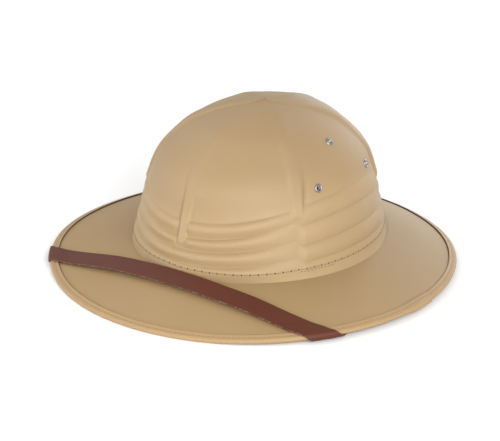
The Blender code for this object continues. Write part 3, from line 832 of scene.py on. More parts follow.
outside, outside_even, outside_painted_shade = crown_outside()
foot_even = outside_even[:1]
foot_points, foot_painted_shade = crown_foot(true_angle(foot_even))
inside, inside_even = crown_inside()
crown_points = np.concatenate([outside[::-1], foot_points, inside])
crown_even = np.concatenate([outside_even[::-1], foot_even + 0.0 * foot_painted_shade, inside_even])
# painted shade for every point; the inside takes the panels' value
crown_painted_shade = np.concatenate([outside_painted_shade[::-1], foot_painted_shade, PANEL_SHADE + 0.0 * inside_even])
crown_cloth = skin("crown_cloth", crown_points, panel_cloth_uv(crown_points, crown_even),
                   {"painted_shade": crown_painted_shade}, caps=True)
print("crown:", count_triangles(crown_cloth), "triangles")

# %% [markdown]
# ## The vent eyelets
# Three small metal eyelets let air in on each side.  Each is a turned ring with a
# rolled lip, clinched through the wall, so the wall needs a true hole.  The holes
# are cut first, with one Boolean on the finished crown, and the rings follow as a
# profile turned about each hole's own axis.

# %% Places of the eyelets
EYELETS = {
    # name: angle from the front in degrees, height over the seam
    "left_front": (70.0, 0.0535), "left_top": (91.0, 0.0765), "left_back": (112.0, 0.0535),
    "right_front": (-70.0, 0.0535), "right_top": (-91.0, 0.0765),
    "right_back": (-112.0, 0.0535)}
HOLE_RADIUS, HOLE_SIDES, CUTTER_HALF = 0.0025, 20, 0.012


def eyelet_axes(degrees, height):
    """Centre on the crown's face, and a right-handed frame with the normal last."""
    angle, over = np.array([math.radians(degrees)]), np.array([height])
    even = np.interp(angle % TURN, RIB_ANGLES, PITCH * np.arange(PANELS + 1))
    reach = panel_reach(even, over, reach_at(over))
    centre = crown_base(angle, over, reach)[0]
    normal = crown_normal(angle, over)[0]
    side = unit(np.cross([0.0, 0.0, 1.0], normal))
    return centre, side, np.cross(normal, side), normal


def turned(profile, steps, centre, side, up, normal):
    """A profile (radius, height) turned round the normal: c + r (cos s + sin u) + h n."""
    turn = np.linspace(0.0, TURN, steps, endpoint=False)
    ring = np.cos(turn)[:, None] * side + np.sin(turn)[:, None] * up
    return (centre + profile[:, 0, None, None] * ring
            + profile[:, 1, None, None] * normal)


print("left_front is at", np.round(1000.0 * eyelet_axes(*EYELETS["left_front"])[0]), "mm")

# %% Cut the holes
cutter_profile = np.array([(HOLE_RADIUS, CUTTER_HALF), (HOLE_RADIUS, -CUTTER_HALF)])
cutters = []
for name, (degrees, height) in EYELETS.items():
    plug = turned(cutter_profile, HOLE_SIDES, *eyelet_axes(degrees, height))
    cutters.append(skin("cut_" + name, plug, np.zeros(plug.shape[:2] + (2,)), caps=True))
hole_set = bpy.data.collections.new("holes")
for cutter in cutters:
    hole_set.objects.link(cutter)
cut = crown_cloth.modifiers.new("holes", "BOOLEAN")
cut.operation = "DIFFERENCE"
cut.solver = "FAST"
cut.operand_type = "COLLECTION"
cut.collection = hole_set
cut_mesh = bpy.data.meshes.new_from_object(
    crown_cloth.evaluated_get(bpy.context.evaluated_depsgraph_get()))
crown_cloth.modifiers.clear()
crown_cloth.data = cut_mesh
for cutter in cutters:
    bpy.data.objects.remove(cutter, do_unlink=True)
bpy.data.collections.remove(hole_set)
print("crown with holes:", count_triangles(crown_cloth), "triangles")

# %% [markdown]
# ## The brim
# The brim is one sheet that starts inside the crown's foot, turns out under it
# and droops to the edge.  The drop is nearly straight and steepens a little.  The
# edge rises slightly at the two sides.  Its grid is a closed section carried
# round the hat: down the upper face, and back along the lower one.

# %% The brim's surface
def edge_lift(angle):
    """Rise of the edge past the level part, as a share of the lift.

    The smooth step of |sin a| on the wearer's left, and on the right a bell round
    the place where the strap pulls the edge up."""
    flat = math.sin(FLAT_HALF_ANGLE)
    past = (np.abs(np.sin(angle)) - flat) / (1.0 - flat)
    side = signed(angle)
    pulled = bump_at(side - STRAP_PULL, PULL_SPREAD) * smooth_step(2.0 * past)
    return EDGE_LIFT * np.where(side > 0.0, smooth_step(past), pulled)


def brim_oval(share):
    """Half width, half length and middle of the oval between foot, 0, and edge, 1."""
    return (FOOT_HALF_WIDTH + BRIM_RUN * share,
            FOOT_HALF_LENGTH + (EDGE_HALF_LENGTH - FOOT_HALF_LENGTH) * share,
            CROWN_BACK * (1.0 - share))


def brim_top(angle, share):
    """Upper face: (half width sin a, middle - half length cos a, height).

    The drop is (1 - k) s + k s^2, and the edge's lift comes in with s^2."""
    half_width, half_length, middle = brim_oval(share)
    drop = (1.0 - BRIM_ROUND) * share + BRIM_ROUND * share ** 2
    z = (FOOT_Z - GAP) + (EDGE_TOP_Z - FOOT_Z + GAP) * drop + edge_lift(angle) * share ** 2
    return np.stack([half_width * np.sin(angle), middle - half_length * np.cos(angle), z],
                    axis=-1)


def brim_axes(angle, share):
    """Outward direction down the slope, and the upward normal: their cross product."""
    step = 0.004
    outward = unit(brim_top(angle, share + step) - brim_top(angle, share - step))
    along = unit(brim_top(angle + step, share) - brim_top(angle - step, share))
    normal = unit(np.cross(outward, along))
    return outward, np.where(normal[..., 2:3] < 0.0, -normal, normal)


def brim_place(x, y):
    """Angle and share of the brim over plan points, by twelve steps of correction."""
    share = 0.5 + 0.0 * x
    for _ in range(12):
        half_width, half_length, middle = brim_oval(share)
        angle = np.arctan2(x / half_width, (middle - y) / half_length)
        size = np.hypot(x / half_width, (middle - y) / half_length)
        share = share + (size - 1.0) * half_width / BRIM_RUN
    return angle, share


def edge_axes(angle):
    """The outward direction and the normal at the brim's edge."""
    return brim_axes(angle, 1.0 + 0.0 * angle)


def nose_centre(angle):
    """Middle of the brim's thickness at its edge."""
    return brim_top(angle, 1.0 + 0.0 * angle) - edge_axes(angle)[1] * BRIM_THICK / 2.0


print("the brim drops", round(1000.0 * (FOOT_Z - GAP - EDGE_TOP_Z), 1), "mm to its front edge")

# %% The brim as one closed shell
BRIM_COLUMNS, FACE_ROWS, OPENING_ROWS = 288, 30, 8
COLLAR_RISE, COLLAR_GAP = 0.0020, 0.0008
OPENING_ROUND = 0.0030


def collar_ring(angle, height, inset):
    """The crown's oval at a height over the seam, moved in by a distance."""
    over = height + 0.0 * angle
    return crown_base(angle, over) - crown_normal(angle, over) * [1.0, 1.0, 0.0] * inset


def brim_section(angle):
    """Rows of the closed section: collar, upper face, edge, lower face, opening."""
    outer, inner = CROWN_WALL + COLLAR_GAP, CROWN_WALL + COLLAR_GAP + BRIM_THICK
    collar = [collar_ring(angle, height, outer) for height in (COLLAR_RISE, 0.0)]
    corner = collar[-1].copy()
    corner[:, 2] = FOOT_Z - GAP
    share = np.linspace(0.0, 1.0, FACE_ROWS)[:, None] + 0.0 * angle
    upper = brim_top(angle + 0.0 * share, share)
    normal = brim_axes(angle + 0.0 * share, share)[1]
    lower = (upper - normal * BRIM_THICK)[::-1]
    wall = collar_ring(angle, 0.0, inner)
    turn = np.linspace(0.0, math.pi / 2.0, OPENING_ROWS)[:, None]
    side = collar_ring(angle, 0.0, inner + OPENING_ROUND)
    outward = unit((wall - side) * [1.0, 1.0, 0.0])
    bend = wall + outward * (OPENING_ROUND * (1.0 - np.sin(turn)))[..., None]
    bend[..., 2] = lower[-1, :, 2] + OPENING_ROUND * (1.0 - np.cos(turn))
    top = collar_ring(angle, COLLAR_RISE, inner)
    return np.concatenate([np.array(collar), corner[None], upper, lower, bend, top[None]])


brim_angle = np.linspace(0.0, TURN, BRIM_COLUMNS, endpoint=False)
brim_points = brim_section(brim_angle)
brim_cloth = skin("brim_cloth", brim_points, brim_points[..., :2], loop=True)
print("brim:", count_triangles(brim_cloth), "triangles")

# %% [markdown]
# ## The bound edge
# A strip of bias tape is folded over the brim's raw edge and sewn through.  Its
# end laps over its start at the wearer's left, where the photograph shows a small
# step.  The tape is a closed section carried round the edge: along the upper leg,
# round the nose and back under.  The stitches pull a shallow groove into it.

# %% The binding's surface
TAPE_END, TAPE_LAP, TAPE_RAMP = math.radians(93.0), math.radians(6.0), math.radians(5.0)
TAPE_COLUMNS, TAPE_ROWS = 760, 15
TAPE_SOFTEN, CORNER_OUT, CORNER_DOWN = 0.00018, 0.00005, 0.00025    # its worn cut edge
STITCH_IN = 0.0020            # the binding's stitches lie this far in from the nose
TAPE_STITCH_PITCH = 0.0036
PULL_DEPTH, PULL_WIDTH, LEG_FLAT = 0.00028, 0.0009, 0.0003
PULL_EVEN, PULL_WAVE = 0.75, 0.25         # the pull's mean, and its change along each stitch


def tape_section():
    """The strip's section as (in or out, up, how far round): legs, nose, and back.

    A half circle of the nose's radius joins two straight legs.  The back of the
    strip is the same path, a tape's thickness nearer the brim.  The last two
    results are the length run round the section, and 1 where the strip's cut
    edges and back are, else 0."""
    leg = np.linspace(-TAPE_LEG, 0.0, TAPE_ROWS)
    turn = np.linspace(math.pi / 2.0, -math.pi / 2.0, TAPE_ROWS)[1:-1]
    face = np.concatenate([np.stack([leg, leg * 0.0 + NOSE], axis=-1),
                           NOSE * np.stack([np.cos(turn), np.sin(turn)], axis=-1),
                           np.stack([leg[::-1], leg * 0.0 - NOSE], axis=-1)])
    inner = NOSE - TAPE_THICK - 0.6 * GAP
    back = face * [1.0, inner / NOSE]
    back[:, 0] = np.where(face[:, 0] > 0.0, face[:, 0] * inner / NOSE, face[:, 0])
    back = back[::-1]
    face[[0, -1], 0] += TAPE_SOFTEN
    corner = np.array([[-TAPE_LEG - CORNER_OUT, NOSE - CORNER_DOWN]])
    under = corner * [1.0, -1.0]
    section = np.concatenate([corner, face, under, back])
    steps = np.linalg.norm(np.diff(section, axis=0, prepend=section[:1]), axis=-1)
    # where the dark brown goes: partly the edge's own colour and partly painted shadow
    cut_edge = np.ones(len(section))
    cut_edge[2:1 + len(face) - 1] = 0.0
    return section, np.cumsum(steps), cut_edge


def tape_climb(angle):
    """How far the tape stands off near its end: it laps over its start by a smooth step."""
    start = TURN + TAPE_END - TAPE_LAP - TAPE_RAMP
    return ramp(angle, start, 0.8 * TAPE_RAMP) * (TAPE_THICK + GAP)


def binding_points(angle):
    """Section points set round the edge: centre + a outward + b normal, by angle."""
    section, around, cut_edge = tape_section()
    outward, normal = edge_axes(angle)
    radius = np.hypot(EDGE_HALF_WIDTH * np.sin(angle), EDGE_HALF_LENGTH * np.cos(angle))
    travel = angle * radius
    inward, upward = section[:, 0] + 0.0 * angle[:, None], section[:, 1] + 0.0 * angle[:, None]
    pull = (bump_at(section[:, 0] + STITCH_IN, PULL_WIDTH)
            * (np.abs(section[:, 1]) > NOSE - LEG_FLAT))
    tight = PULL_EVEN + PULL_WAVE * np.cos(TURN * travel / TAPE_STITCH_PITCH)[:, None]
    upward = upward - np.sign(upward) * PULL_DEPTH * pull * tight
    climb = tape_climb(angle)[:, None]
    size = np.maximum(np.hypot(inward.clip(min=0.0), upward), 1e-6)
    inward = inward + climb * inward.clip(min=0.0) / size
    upward = upward + climb * upward / size
    points = (nose_centre(angle)[:, None] + outward[:, None] * inward[..., None]
              + normal[:, None] * upward[..., None])
    uv = np.stack([travel[:, None] + 0.0 * inward, around + 0.0 * inward], axis=-1)
    return points, uv, cut_edge + 0.0 * inward


tape_angle = np.linspace(TAPE_END - TAPE_LAP, TURN + TAPE_END, TAPE_COLUMNS)
tape_points, tape_uv, tape_edge = binding_points(tape_angle)
binding_tape = skin("binding_tape", tape_points, tape_uv, {"cut_edge": tape_edge}, caps=True)
print("binding:", count_triangles(binding_tape), "triangles")

# %% [markdown]
# ## The chin strap
# The strap is one flat band of smooth brown leather cloth.  It lies on the front
# of the brim, close by the crown, turns round the bound edge at a slant on both
# sides and runs back under the brim, where each end is sewn beside the opening.
# Its section, a flat band with worn edges, is carried along that way.

# %% The strap's way over and under the brim
STRAP_WIDTH, STRAP_THICK = 0.0164, 0.0012
STRAP_FRONT, STRAP_BOW, STRAP_SKEW = 0.1042, 0.0095, 0.030
STRAP_CLEAR, STRAP_RAMP = 0.0006, 0.0080
STRAP_LIFT = 0.0030           # it bridges this high over the front of the brim
STRAP_END = np.array([0.1000, 0.0080])
STRAP_REACH = EDGE_HALF_WIDTH * 0.77
TURN_RADIUS = NOSE + GAP + STRAP_THICK / 2.0
TURN_IN = 0.003               # the turn begins this far in from the edge
EDGE_STEP = 0.01              # radians to either side, for the edge's direction


def strap_middle(x, skew):
    """Plan of the strap's middle line: y = -front + bow (x / reach)^2 + skew x."""
    return np.stack([x, -STRAP_FRONT + STRAP_BOW * (x / STRAP_REACH) ** 2 + skew * x], axis=-1)


def strap_heading(x, skew):
    """Unit direction of the middle line in plan."""
    slope = 2.0 * STRAP_BOW * x / STRAP_REACH ** 2 + skew
    return unit(np.stack([1.0 + 0.0 * slope, slope], axis=-1))


def lay_on_brim(plan, face):
    """Sets plan points on the brim's face, +1 above or -1 below: place and normal."""
    angle, share = brim_place(plan[..., 0], plan[..., 1])
    normal = brim_axes(angle, share)[1]
    spare = TAPE_LEG - (1.0 - share) * BRIM_RUN
    near_edge = ramp(spare, -STRAP_RAMP, STRAP_RAMP)
    on_brim = STRAP_CLEAR + STRAP_THICK / 2.0
    off = on_brim + (TURN_RADIUS - BRIM_THICK / 2.0 - on_brim) * near_edge
    depth = 0.0 if face > 0 else BRIM_THICK
    return brim_top(angle, share) + normal * (face * off - depth)[..., None], face * normal


def strap_meets_edge(skew):
    """Where the middle line comes to the binding: x, edge angle and slant, by halving."""
    near, far = 0.5 * STRAP_REACH, 1.2 * STRAP_REACH
    for _ in range(40):
        x = 0.5 * (near + far)
        plan = strap_middle(np.array([x]), skew)
        share = brim_place(plan[:, 0], plan[:, 1])[1][0]
        near, far = (x, far) if (1.0 - share) * BRIM_RUN > TURN_IN else (near, x)
    angle = brim_place(plan[:, 0], plan[:, 1])[0]
    along = unit(nose_centre(angle + EDGE_STEP)[0] - nose_centre(angle - EDGE_STEP)[0])[:2]
    slant = math.asin(float(strap_heading(np.array([x]), skew)[0] @ unit(along)))
    return x, angle[0], slant


print("the strap comes to the edge", [round(math.degrees(strap_meets_edge(skew)[1]), 1)
                                      for skew in (STRAP_SKEW, -STRAP_SKEW)],
      "degrees from the front")

# %% The strap's three stretches
TOP_ROWS, TURN_ROWS, UNDER_ROWS = 76, 22, 50
SHEAR_FROM, SHEAR_OVER = (0.75, 0.25), (0.0, 0.45)   # where the ends slant, as shares
BRIDGE_FADE, BRIDGE_FADE_RIGHT, BRIDGE_END = 0.55, 0.35, 0.97


def left_normal(ahead):
    """Plan directions turned a quarter left."""
    return np.stack([-ahead[..., 1], ahead[..., 0]], axis=-1)


def edge_radius(angle):
    """Distance of the edge's middle from the hat's axis, in plan."""
    return float(np.linalg.norm(nose_centre(np.array([angle]))[0, :2]))


def strap_top(across, skew, x_end, slant):
    """Over the brim: middle line + offset (side + shear ahead), laid on the cloth.

    A lift that fades out towards the binding lets the stiff band bridge the slope."""
    step = np.linspace(0.0, 1.0, TOP_ROWS)
    place, ahead = strap_middle(x_end * step, skew), strap_heading(x_end * step, skew)
    shear = math.tan(slant) * ramp(step, *SHEAR_FROM)
    offset = across[None, :, None]
    plan = place[:, None] + offset * (left_normal(ahead) + shear[:, None] * ahead)[:, None]
    places, normals = lay_on_brim(plan, 1.0)
    fade = BRIDGE_FADE if skew > 0.0 else BRIDGE_FADE_RIGHT
    bridge = STRAP_LIFT * (1.0 - ramp(step, fade, BRIDGE_END - fade))
    return places + bridge[:, None, None] * np.array([0.0, 0.0, 1.0]), normals


def strap_turn(across, angle, slant):
    """Round the edge: centre + radius (normal cos t + outward sin t), t = 0 to pi."""
    run = np.linspace(0.0, 1.0, TURN_ROWS)[:, None] * math.pi * TURN_RADIUS
    travel = (run + TURN_IN) * math.tan(slant) + across / math.cos(slant)
    at = angle + travel / edge_radius(angle)
    outward, normal = edge_axes(at)
    turn = (run / TURN_RADIUS + 0.0 * across)[..., None]
    way = normal * np.cos(turn) + outward * np.sin(turn)
    return nose_centre(at) + way * TURN_RADIUS, way


def strap_under(across, angle, slant):
    """Under the brim: a quadratic Bezier in plan, from the turn to the sewn end."""
    out = np.array([angle + (math.pi * TURN_RADIUS + TURN_IN) * math.tan(slant)
                    / edge_radius(angle)])
    level = unit(edge_axes(out)[0][0, :2])
    leaving = math.sin(slant) * left_normal(level) - math.cos(slant) * level
    first = nose_centre(out)[0, :2]
    bend = first + leaving * 0.5 * np.linalg.norm(STRAP_END - first)
    step = np.linspace(0.0, 1.0, UNDER_ROWS)[1:, None]
    place = ((1.0 - step) ** 2 * first + 2.0 * step * (1.0 - step) * bend
             + step ** 2 * STRAP_END)
    ahead = unit((1.0 - step) * (bend - first) + step * (STRAP_END - bend))
    shear = math.tan(slant) * (1.0 - ramp(step, *SHEAR_OVER))
    offset = across[None, :, None]
    plan = place[:, None] - offset * (left_normal(ahead) - shear * ahead)[:, None]
    return lay_on_brim(plan, -1.0)


def strap_half(across, skew):
    """Places and normals from the front's middle to the end on the +X side."""
    x_end, angle, slant = strap_meets_edge(skew)
    stretches = (strap_top(across, skew, x_end, slant), strap_turn(across, angle, slant),
                 strap_under(across, angle, slant))
    return [np.concatenate(both) for both in zip(*stretches)]


print("rows on each half of the strap:", TOP_ROWS + TURN_ROWS + UNDER_ROWS - 1)

# %% The strap as one band
EDGE_ROUND, FACE_POINTS, SIDE_POINTS = 0.0004, 15, 7


def strap_section():
    """The band's section, across and up: a flat face, thin rounded sides, a flat back."""
    half, up = STRAP_WIDTH / 2.0, STRAP_THICK / 2.0
    flat = np.linspace(-1.0, 1.0, FACE_POINTS) * (half - EDGE_ROUND)
    turn = np.linspace(math.pi / 2.0, -math.pi / 2.0, SIDE_POINTS)[1:-1]
    right = np.stack([half - EDGE_ROUND + EDGE_ROUND * np.cos(turn), up * np.sin(turn)], axis=-1)
    face = np.stack([flat, up + 0.0 * flat], axis=-1)
    return np.concatenate([face, right, face[::-1] * [1.0, -1.0],
                           right[::-1] * [-1.0, 1.0]])


section = strap_section()
mirror = np.array([-1.0, 1.0, 1.0])
right_places, right_normals = strap_half(section[:, 0], STRAP_SKEW)
left_places, left_normals = strap_half(section[:, 0], -STRAP_SKEW)
strap_places = np.concatenate([(left_places * mirror)[:0:-1], right_places])
strap_normals = np.concatenate([(left_normals * mirror)[:0:-1], right_normals])
strap_points = strap_places + strap_normals * section[:, 1, None]
strap_steps = np.linalg.norm(np.diff(strap_places.mean(axis=1), axis=0), axis=-1)
strap_along = np.concatenate([[0.0], np.cumsum(strap_steps)])
strap_uv = np.stack([strap_along[:, None] + 0.0 * section[:, 0],
                     section[:, 0] + 0.0 * strap_along[:, None]], axis=-1)
side_wall = np.abs(section[:, 0]) > STRAP_WIDTH / 2.0 - 0.8 * EDGE_ROUND
strap_edge = side_wall * (np.abs(section[:, 1]) < 0.9 * STRAP_THICK / 2.0)
strap_band = skin("strap_band", strap_points, strap_uv,
                  {"raw_edge": strap_edge + 0.0 * strap_along[:, None]}, caps=True)
print("strap:", count_triangles(strap_band), "triangles,",
      round(1000 * strap_along[-1]), "mm long")

# %% [markdown]
# ## The metal rings
# The lip of an eyelet is a torus-like roll that stands off the cloth, and its
# barrel goes through the wall to a flat flange inside.  One profile of radius and
# height makes all six, turned in each hole's own frame.

# %% The rings
RING_STEPS = 40
RING_PROFILE = np.array([
    # radius, height
    (0.00150, -0.0002), (0.00162, 0.0004), (0.00195, 0.00075), (0.00240, 0.00090),
    (0.00285, 0.00076), (0.00318, 0.00042), (0.00328, 0.00012), (0.00320, 0.00004),
    (0.00225, 0.00004), (0.00222, -0.0029), (0.00300, -0.00305), (0.00318, -0.00325),
    (0.00300, -0.00350), (0.00150, -0.00350), (0.00085, -0.00320), (0.00074, -0.00150),
    (0.00078, -0.00085), (0.00130, -0.00060)])
rings = []
for name, (degrees, height) in EYELETS.items():
    points = turned(RING_PROFILE, RING_STEPS, *eyelet_axes(degrees, height))
    ring = skin("ring_" + name, points, np.zeros(points.shape[:2] + (2,)), loop=True)
    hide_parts("eyelet_" + name)
    rings.append(ring)
print("rings:", len(rings), "with", count_triangles(rings[0]), "triangles each")

# %% [markdown]
# ## The stitches
# A stitch is a short piece of thread that dips into the cloth at both ends.  All the
# stitches of a line are worked out together, as one array of rings of points: each
# is a thin tube, turned to its stitch's direction and bent down at its ends.

# %% Threads along a line
THREAD_SIDES, THREAD_RINGS, BLUNT_END = 6, 7, 0.03


def many_tubes(name, points, walls, ends):
    """One object of many closed tubes, from points (tubes, each, 3) and one tube's faces."""
    offset = points.shape[1] * np.arange(len(points))[:, None, None]
    faces = (walls[None] + offset).reshape(-1, 4).tolist()
    faces += (ends[None] + offset).reshape(-1, ends.shape[1]).tolist()
    return add_mesh_object(name, points.reshape(-1, 3), faces)


def thread_run(name, starts, ends, normals, radius, sink):
    """Threads between pairs of points: radius (1 - (2s - 1)^4)^0.5, sunk by (2s - 1)^2."""
    share = np.linspace(0.0, 1.0, THREAD_RINGS)
    turn = np.linspace(0.0, TURN, THREAD_SIDES, endpoint=False)
    thick = radius * np.sqrt(np.clip(1.0 - (2.0 * share - 1.0) ** 4, BLUNT_END, 1.0))
    ahead = unit(ends - starts)
    side = unit(np.cross(normals, ahead))
    middle = (starts[:, None] + (ends - starts)[:, None] * share[:, None]
              - normals[:, None] * (sink * (2.0 * share - 1.0) ** 2)[:, None])
    round_way = (np.cos(turn)[:, None] * side[:, None, None, :]
                 + np.sin(turn)[:, None] * normals[:, None, None, :])
    points = middle[:, :, None] + thick[:, None, None] * round_way
    around = np.arange(THREAD_SIDES)
    return many_tubes(name, points.reshape(len(points), -1, 3),
                      ring_quads(THREAD_RINGS, THREAD_SIDES),
                      np.stack([around, THREAD_RINGS * THREAD_SIDES - 1 - around]))


# %% The crown's seam
SEAM_STITCHES = 102
SEAM_PITCH = TURN / SEAM_STITCHES
SEAM_THREAD, THREAD_PROUD, SEAM_SINK = 0.00024, 0.0001, 0.0005
STITCH_SPAN = (0.10, 0.90)                # from where to where of its pitch a stitch goes
BACK_TACK = np.radians([58.0, 61.0, 64.5, 67.5, 71.0])    # the short doubled run
TACK_DROP, TACK_PITCH = 0.0016, 0.75 * SEAM_PITCH


def seam_line(angle, drop=0.0):
    """The stitch line round the crown: the foot's own surface, lowered by drop."""
    out, down = foot_place(angle, drop / (FOOT_DROP + foot_fall(angle)))
    points, level = foot_surface(angle, out, down)
    return points, unit(level)


def seam_stitches(name, angle, pitch, drop=0.0):
    """Stitches along the seam, each over STITCH_SPAN of the pitch after its angle."""
    starts, normals = seam_line(angle + STITCH_SPAN[0] * pitch, drop)
    ends = seam_line(angle + STITCH_SPAN[1] * pitch, drop)[0]
    proud = normals * THREAD_PROUD
    return thread_run(name, starts + proud, ends + proud, normals, SEAM_THREAD, SEAM_SINK)


seam_angles = np.arange(SEAM_STITCHES) * SEAM_PITCH
seam_thread = seam_stitches("seam_thread", seam_angles, SEAM_PITCH)
tack_thread = seam_stitches("tack_thread", BACK_TACK, TACK_PITCH, TACK_DROP)
print("seam:", SEAM_STITCHES, "stitches",
      round(1000 * SEAM_PITCH * mean_radius(1.0), 1), "mm apart")

# %% Needle holes along the seam, as dots of painted shadow
HOLE_DOTS, DOT_TALL = 8, 1.25
DOT_SUNK, LID_SHARE, LID_PROUD = 0.0004, 0.75, 0.00006
SEAM_DOT, TACK_DOT = 0.00076, 0.00048


def hole_shadow_dots(name, angle, drop, radius):
    """Painted shadow of the needle holes: dark dots between the stitches, a rim under the cloth
    and a lid 0.06 mm over it.
    """
    centre, normals = seam_line(angle, drop)
    side = unit(np.cross([0.0, 0.0, 1.0], normals))
    up = np.cross(normals, side)
    turn = np.linspace(0.0, TURN, HOLE_DOTS, endpoint=False)
    ring = (np.cos(turn)[:, None] * side[:, None]
            + DOT_TALL * np.sin(turn)[:, None] * up[:, None])
    rim = centre[:, None] + radius * ring - normals[:, None] * DOT_SUNK
    lid = centre[:, None] + LID_SHARE * radius * ring + normals[:, None] * LID_PROUD
    around = np.arange(HOLE_DOTS)
    after = (around + 1) % HOLE_DOTS
    walls = np.stack([around, after, HOLE_DOTS + after, HOLE_DOTS + around], axis=-1)
    return many_tubes(name, np.concatenate([rim, lid], axis=1), walls,
                      np.stack([around[::-1], HOLE_DOTS + around]))


seam_hole_shadows = hole_shadow_dots("seam_hole_shadows", seam_angles, 0.0, SEAM_DOT)
tack_hole_shadows = hole_shadow_dots("tack_hole_shadows", BACK_TACK - STITCH_SPAN[0] * SEAM_PITCH, TACK_DROP,
                          TACK_DOT)
print("needle holes:", len(seam_angles) + len(BACK_TACK))

# %% The binding's stitches, above and below
TAPE_THREAD, TAPE_SINK, TAPE_SPAN = 0.00022, 0.00035, (0.14, 0.86)


def tape_stitches(name, face):
    """Stitches along the tape's leg: centre - in x outward +- nose x normal."""
    length = TURN * 0.5 * (EDGE_HALF_WIDTH + EDGE_HALF_LENGTH)
    count = int(length / TAPE_STITCH_PITCH)
    step = TURN / count
    start = TAPE_END + step * np.arange(count)

    def at(angle):
        outward, normal = edge_axes(angle)
        up = NOSE + tape_climb(angle) - TAPE_THREAD
        return (nose_centre(angle) - outward * STITCH_IN
                + face * normal * up[:, None]), face * normal

    starts, normals = at(start + TAPE_SPAN[0] * step)
    ends = at(start + TAPE_SPAN[1] * step)[0]
    return thread_run(name, starts, ends, normals, TAPE_THREAD, TAPE_SINK)


tape_thread_top = tape_stitches("tape_thread_top", 1.0)
tape_thread_under = tape_stitches("tape_thread_under", -1.0)
print("tape threads:", count_triangles(tape_thread_top), "triangles a side")

# %% [markdown]
# ## The finishes
# Each material takes the shared weave with its own colour, thread and depth.  The
# crown's mesh holds a value of painted shade that darkens its creases, its grooves,
# its seam and, more than those, its panels, so that the folds are the palest part.
# The tape's inner edges carry a dark brown line, partly its own brown edge and partly
# painted shadow of the gap under it.

# %% Cloth, tape and thread
PAINTED_SHADE_STRENGTH = 0.45            # how far a value of 1 goes towards the shade colour
CLOTH_WEAVE = (0.0006, 0.00006)   # pitch and depth of the threads
TAPE_WEAVE = (0.0005, 0.00007)
THREAD_TWIST = (0.0004, 0.00002)


def woven_material(name, colour, shade, weave, unevenness, sheen, shading=None,
                   cloth_place="UV", specular=0.5):
    """A woven finish: the shared group feeds colour, roughness and a bump's height."""
    pitch, depth = weave
    made, tree, shader = new_material(name, sheen=sheen, specular=specular)
    spot = tree.nodes.new("ShaderNodeTexCoord")
    group = add_node(tree, "ShaderNodeGroup", {
        "Cloth Place": spot.outputs[cloth_place], "Object Place": spot.outputs["Object"],
        "Colour": (*colour, 1.0), "Shade": (*shade, 1.0), "Thread Pitch": pitch,
        "Thread Depth": depth, "Unevenness": unevenness}, node_tree=woven)
    if shading is not None:
        feed(tree, group, {"Shading": shading(tree)})
    feed(tree, shader, {"Base Color": group.outputs["Colour"],
                        "Roughness": group.outputs["Roughness"],
                        "Normal": bumped(tree, group.outputs["Height"])})
    return made


def painted_shade_mix(tree):
    """Painted shade: how far the crown's cloth goes towards the shade colour, strength x its
    value.
    """
    return calculate(tree, "MULTIPLY", mesh_value(tree, "painted_shade"), PAINTED_SHADE_STRENGTH)


def tape_edge_and_painted_shadow(tree):
    """The brown line, partly the tape's own brown edge and partly painted shadow of the gap:
    2.5 e - 1.5 of the cut edge's value e, kept between 0 and 1.
    """
    near = calculate(tree, "MULTIPLY_ADD", mesh_value(tree, "cut_edge"), 2.5, -1.5)
    return calculate(tree, "MAXIMUM", calculate(tree, "MINIMUM", near, 1.0), 0.0)


# the cloth's colour on the folds, and the colour that painted shade goes towards
FOLD_COLOUR, CLOTH_SHADE = (0.347, 0.235, 0.115), (0.200, 0.122, 0.052)
# the tape's colour, and its dark brown edge colour, partly its own and partly painted shadow
TAPE_COLOUR, TAPE_SHADE = (0.362, 0.236, 0.110), (0.065, 0.034, 0.016)
BRIM_COLOUR = (0.325, 0.216, 0.101)
# the thread's colour, and the near black of the painted shadow in the needle holes
THREAD_COLOUR, HOLE_SHADOW_COLOUR = (0.210, 0.130, 0.066), (0.036, 0.020, 0.010)
TAPE_THREAD_COLOUR = (0.210, 0.108, 0.045)
cloth = woven_material("cloth", FOLD_COLOUR, CLOTH_SHADE, CLOTH_WEAVE, unevenness=0.06,
                       sheen=0.04, shading=painted_shade_mix)
brim_look = woven_material("brim_cloth", BRIM_COLOUR, CLOTH_SHADE, CLOTH_WEAVE,
                           unevenness=0.08, sheen=0.0, specular=0.3)
tape = woven_material("tape", TAPE_COLOUR, TAPE_SHADE, TAPE_WEAVE, unevenness=0.08,
                      sheen=0.02, shading=tape_edge_and_painted_shadow, specular=0.35)
thread, tape_thread, hole_shadow_look = (
    woven_material(name, colour, shade, THREAD_TWIST, unevenness=0.1, sheen=sheen,
                   cloth_place="Object")
    for name, colour, shade, sheen in (
        ("thread", THREAD_COLOUR, THREAD_COLOUR, 0.1),
        ("tape_thread", TAPE_THREAD_COLOUR, THREAD_COLOUR, 0.1),
        ("painted_hole_shadow", HOLE_SHADOW_COLOUR, HOLE_SHADOW_COLOUR, 0.0)))
print("woven finishes:", [look.name for look in (cloth, brim_look, tape, thread, tape_thread,
                                                 hole_shadow_look)])

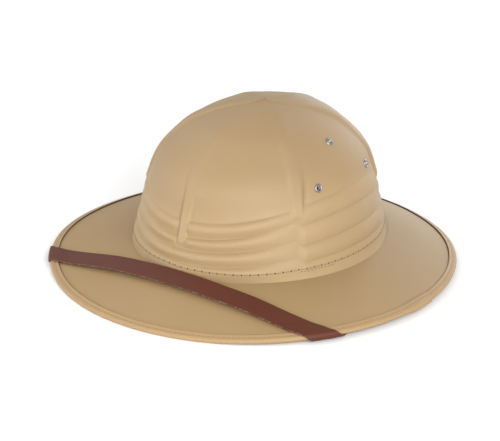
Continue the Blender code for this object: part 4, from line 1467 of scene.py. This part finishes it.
# %% The strap's leather look
PORE_ROUGHNESS, PORE_DEPTH = (0.12, 0.42), 0.00004     # gain and floor, and metres
LEATHER_DARK, LEATHER_PALE = (0.080, 0.021, 0.010), (0.098, 0.027, 0.015)
RAW_EDGE, FRAY = (0.165, 0.105, 0.080), 0.52      # where the noise passes 0.52 it is raw
strap_look, tree, shader = new_material("strap_leather", specular=0.21)
spot = tree.nodes.new("ShaderNodeTexCoord").outputs["Object"]
pores = noise(tree, spot, 900.0, 3.0)
leather = mix_colours(tree, noise(tree, spot, 40.0, 2.0), LEATHER_DARK, LEATHER_PALE)
raw = calculate(tree, "MULTIPLY", mesh_value(tree, "raw_edge"),
                calculate(tree, "GREATER_THAN", noise(tree, spot, 700.0, 2.0), FRAY))
feed(tree, shader, {
    "Base Color": mix_colours(tree, raw, leather, RAW_EDGE),
    "Roughness": calculate(tree, "MULTIPLY_ADD", pores, *PORE_ROUGHNESS),
    "Normal": bumped(tree, calculate(tree, "MULTIPLY", pores, PORE_DEPTH))})
print(strap_look.name, "has", len(tree.nodes), "nodes")

# %% The rings' metal
SCUFF_ROUGHNESS = (0.22, 0.26)    # gain and floor
METAL_DARK, METAL_PALE = (0.26, 0.25, 0.235), (0.36, 0.35, 0.335)
metal, tree, shader = new_material("eyelet_metal", metallic=1.0)
spot = tree.nodes.new("ShaderNodeTexCoord").outputs["Object"]
scuffs = noise(tree, spot, 1200.0, 3.0)
feed(tree, shader, {
    "Base Color": mix_colours(tree, scuffs, METAL_DARK, METAL_PALE),
    "Roughness": calculate(tree, "MULTIPLY_ADD", scuffs, *SCUFF_ROUGHNESS)})
print(metal.name, "has", len(tree.nodes), "nodes")

# %% [markdown]
# ## Putting it together
# Each piece takes its finish and rides on the hat's one body.  The table also lists
# the slot of each finish and the CAD node that each piece stands for, which is hidden.

# %% Finishes, bodies and slots
PIECES = (
    # piece, finish, slot, CAD node it stands for
    (crown_cloth, cloth, "cloth", "crown"),
    (brim_cloth, brim_look, "cloth", "brim"),
    (binding_tape, tape, "tape", "brim_binding"),
    (strap_band, strap_look, "strap", "chin_strap"),
    (seam_thread, thread, "tape", None),
    (tack_thread, thread, "tape", None),
    (seam_hole_shadows, hole_shadow_look, "tape", None),
    (tack_hole_shadows, hole_shadow_look, "tape", None),
    (tape_thread_top, tape_thread, "tape", None),
    (tape_thread_under, tape_thread, "tape", None),
) + tuple((ring, metal, "eyelet_metal", None) for ring in rings)
total = 0
for piece, finish, slot, node in PIECES:
    piece.data.materials.clear()
    piece.data.materials.append(finish)
    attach(piece, "root")
    if node:
        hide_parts(node)
    total += count_triangles(piece)
print(len(PIECES), "pieces,", total, "triangles")
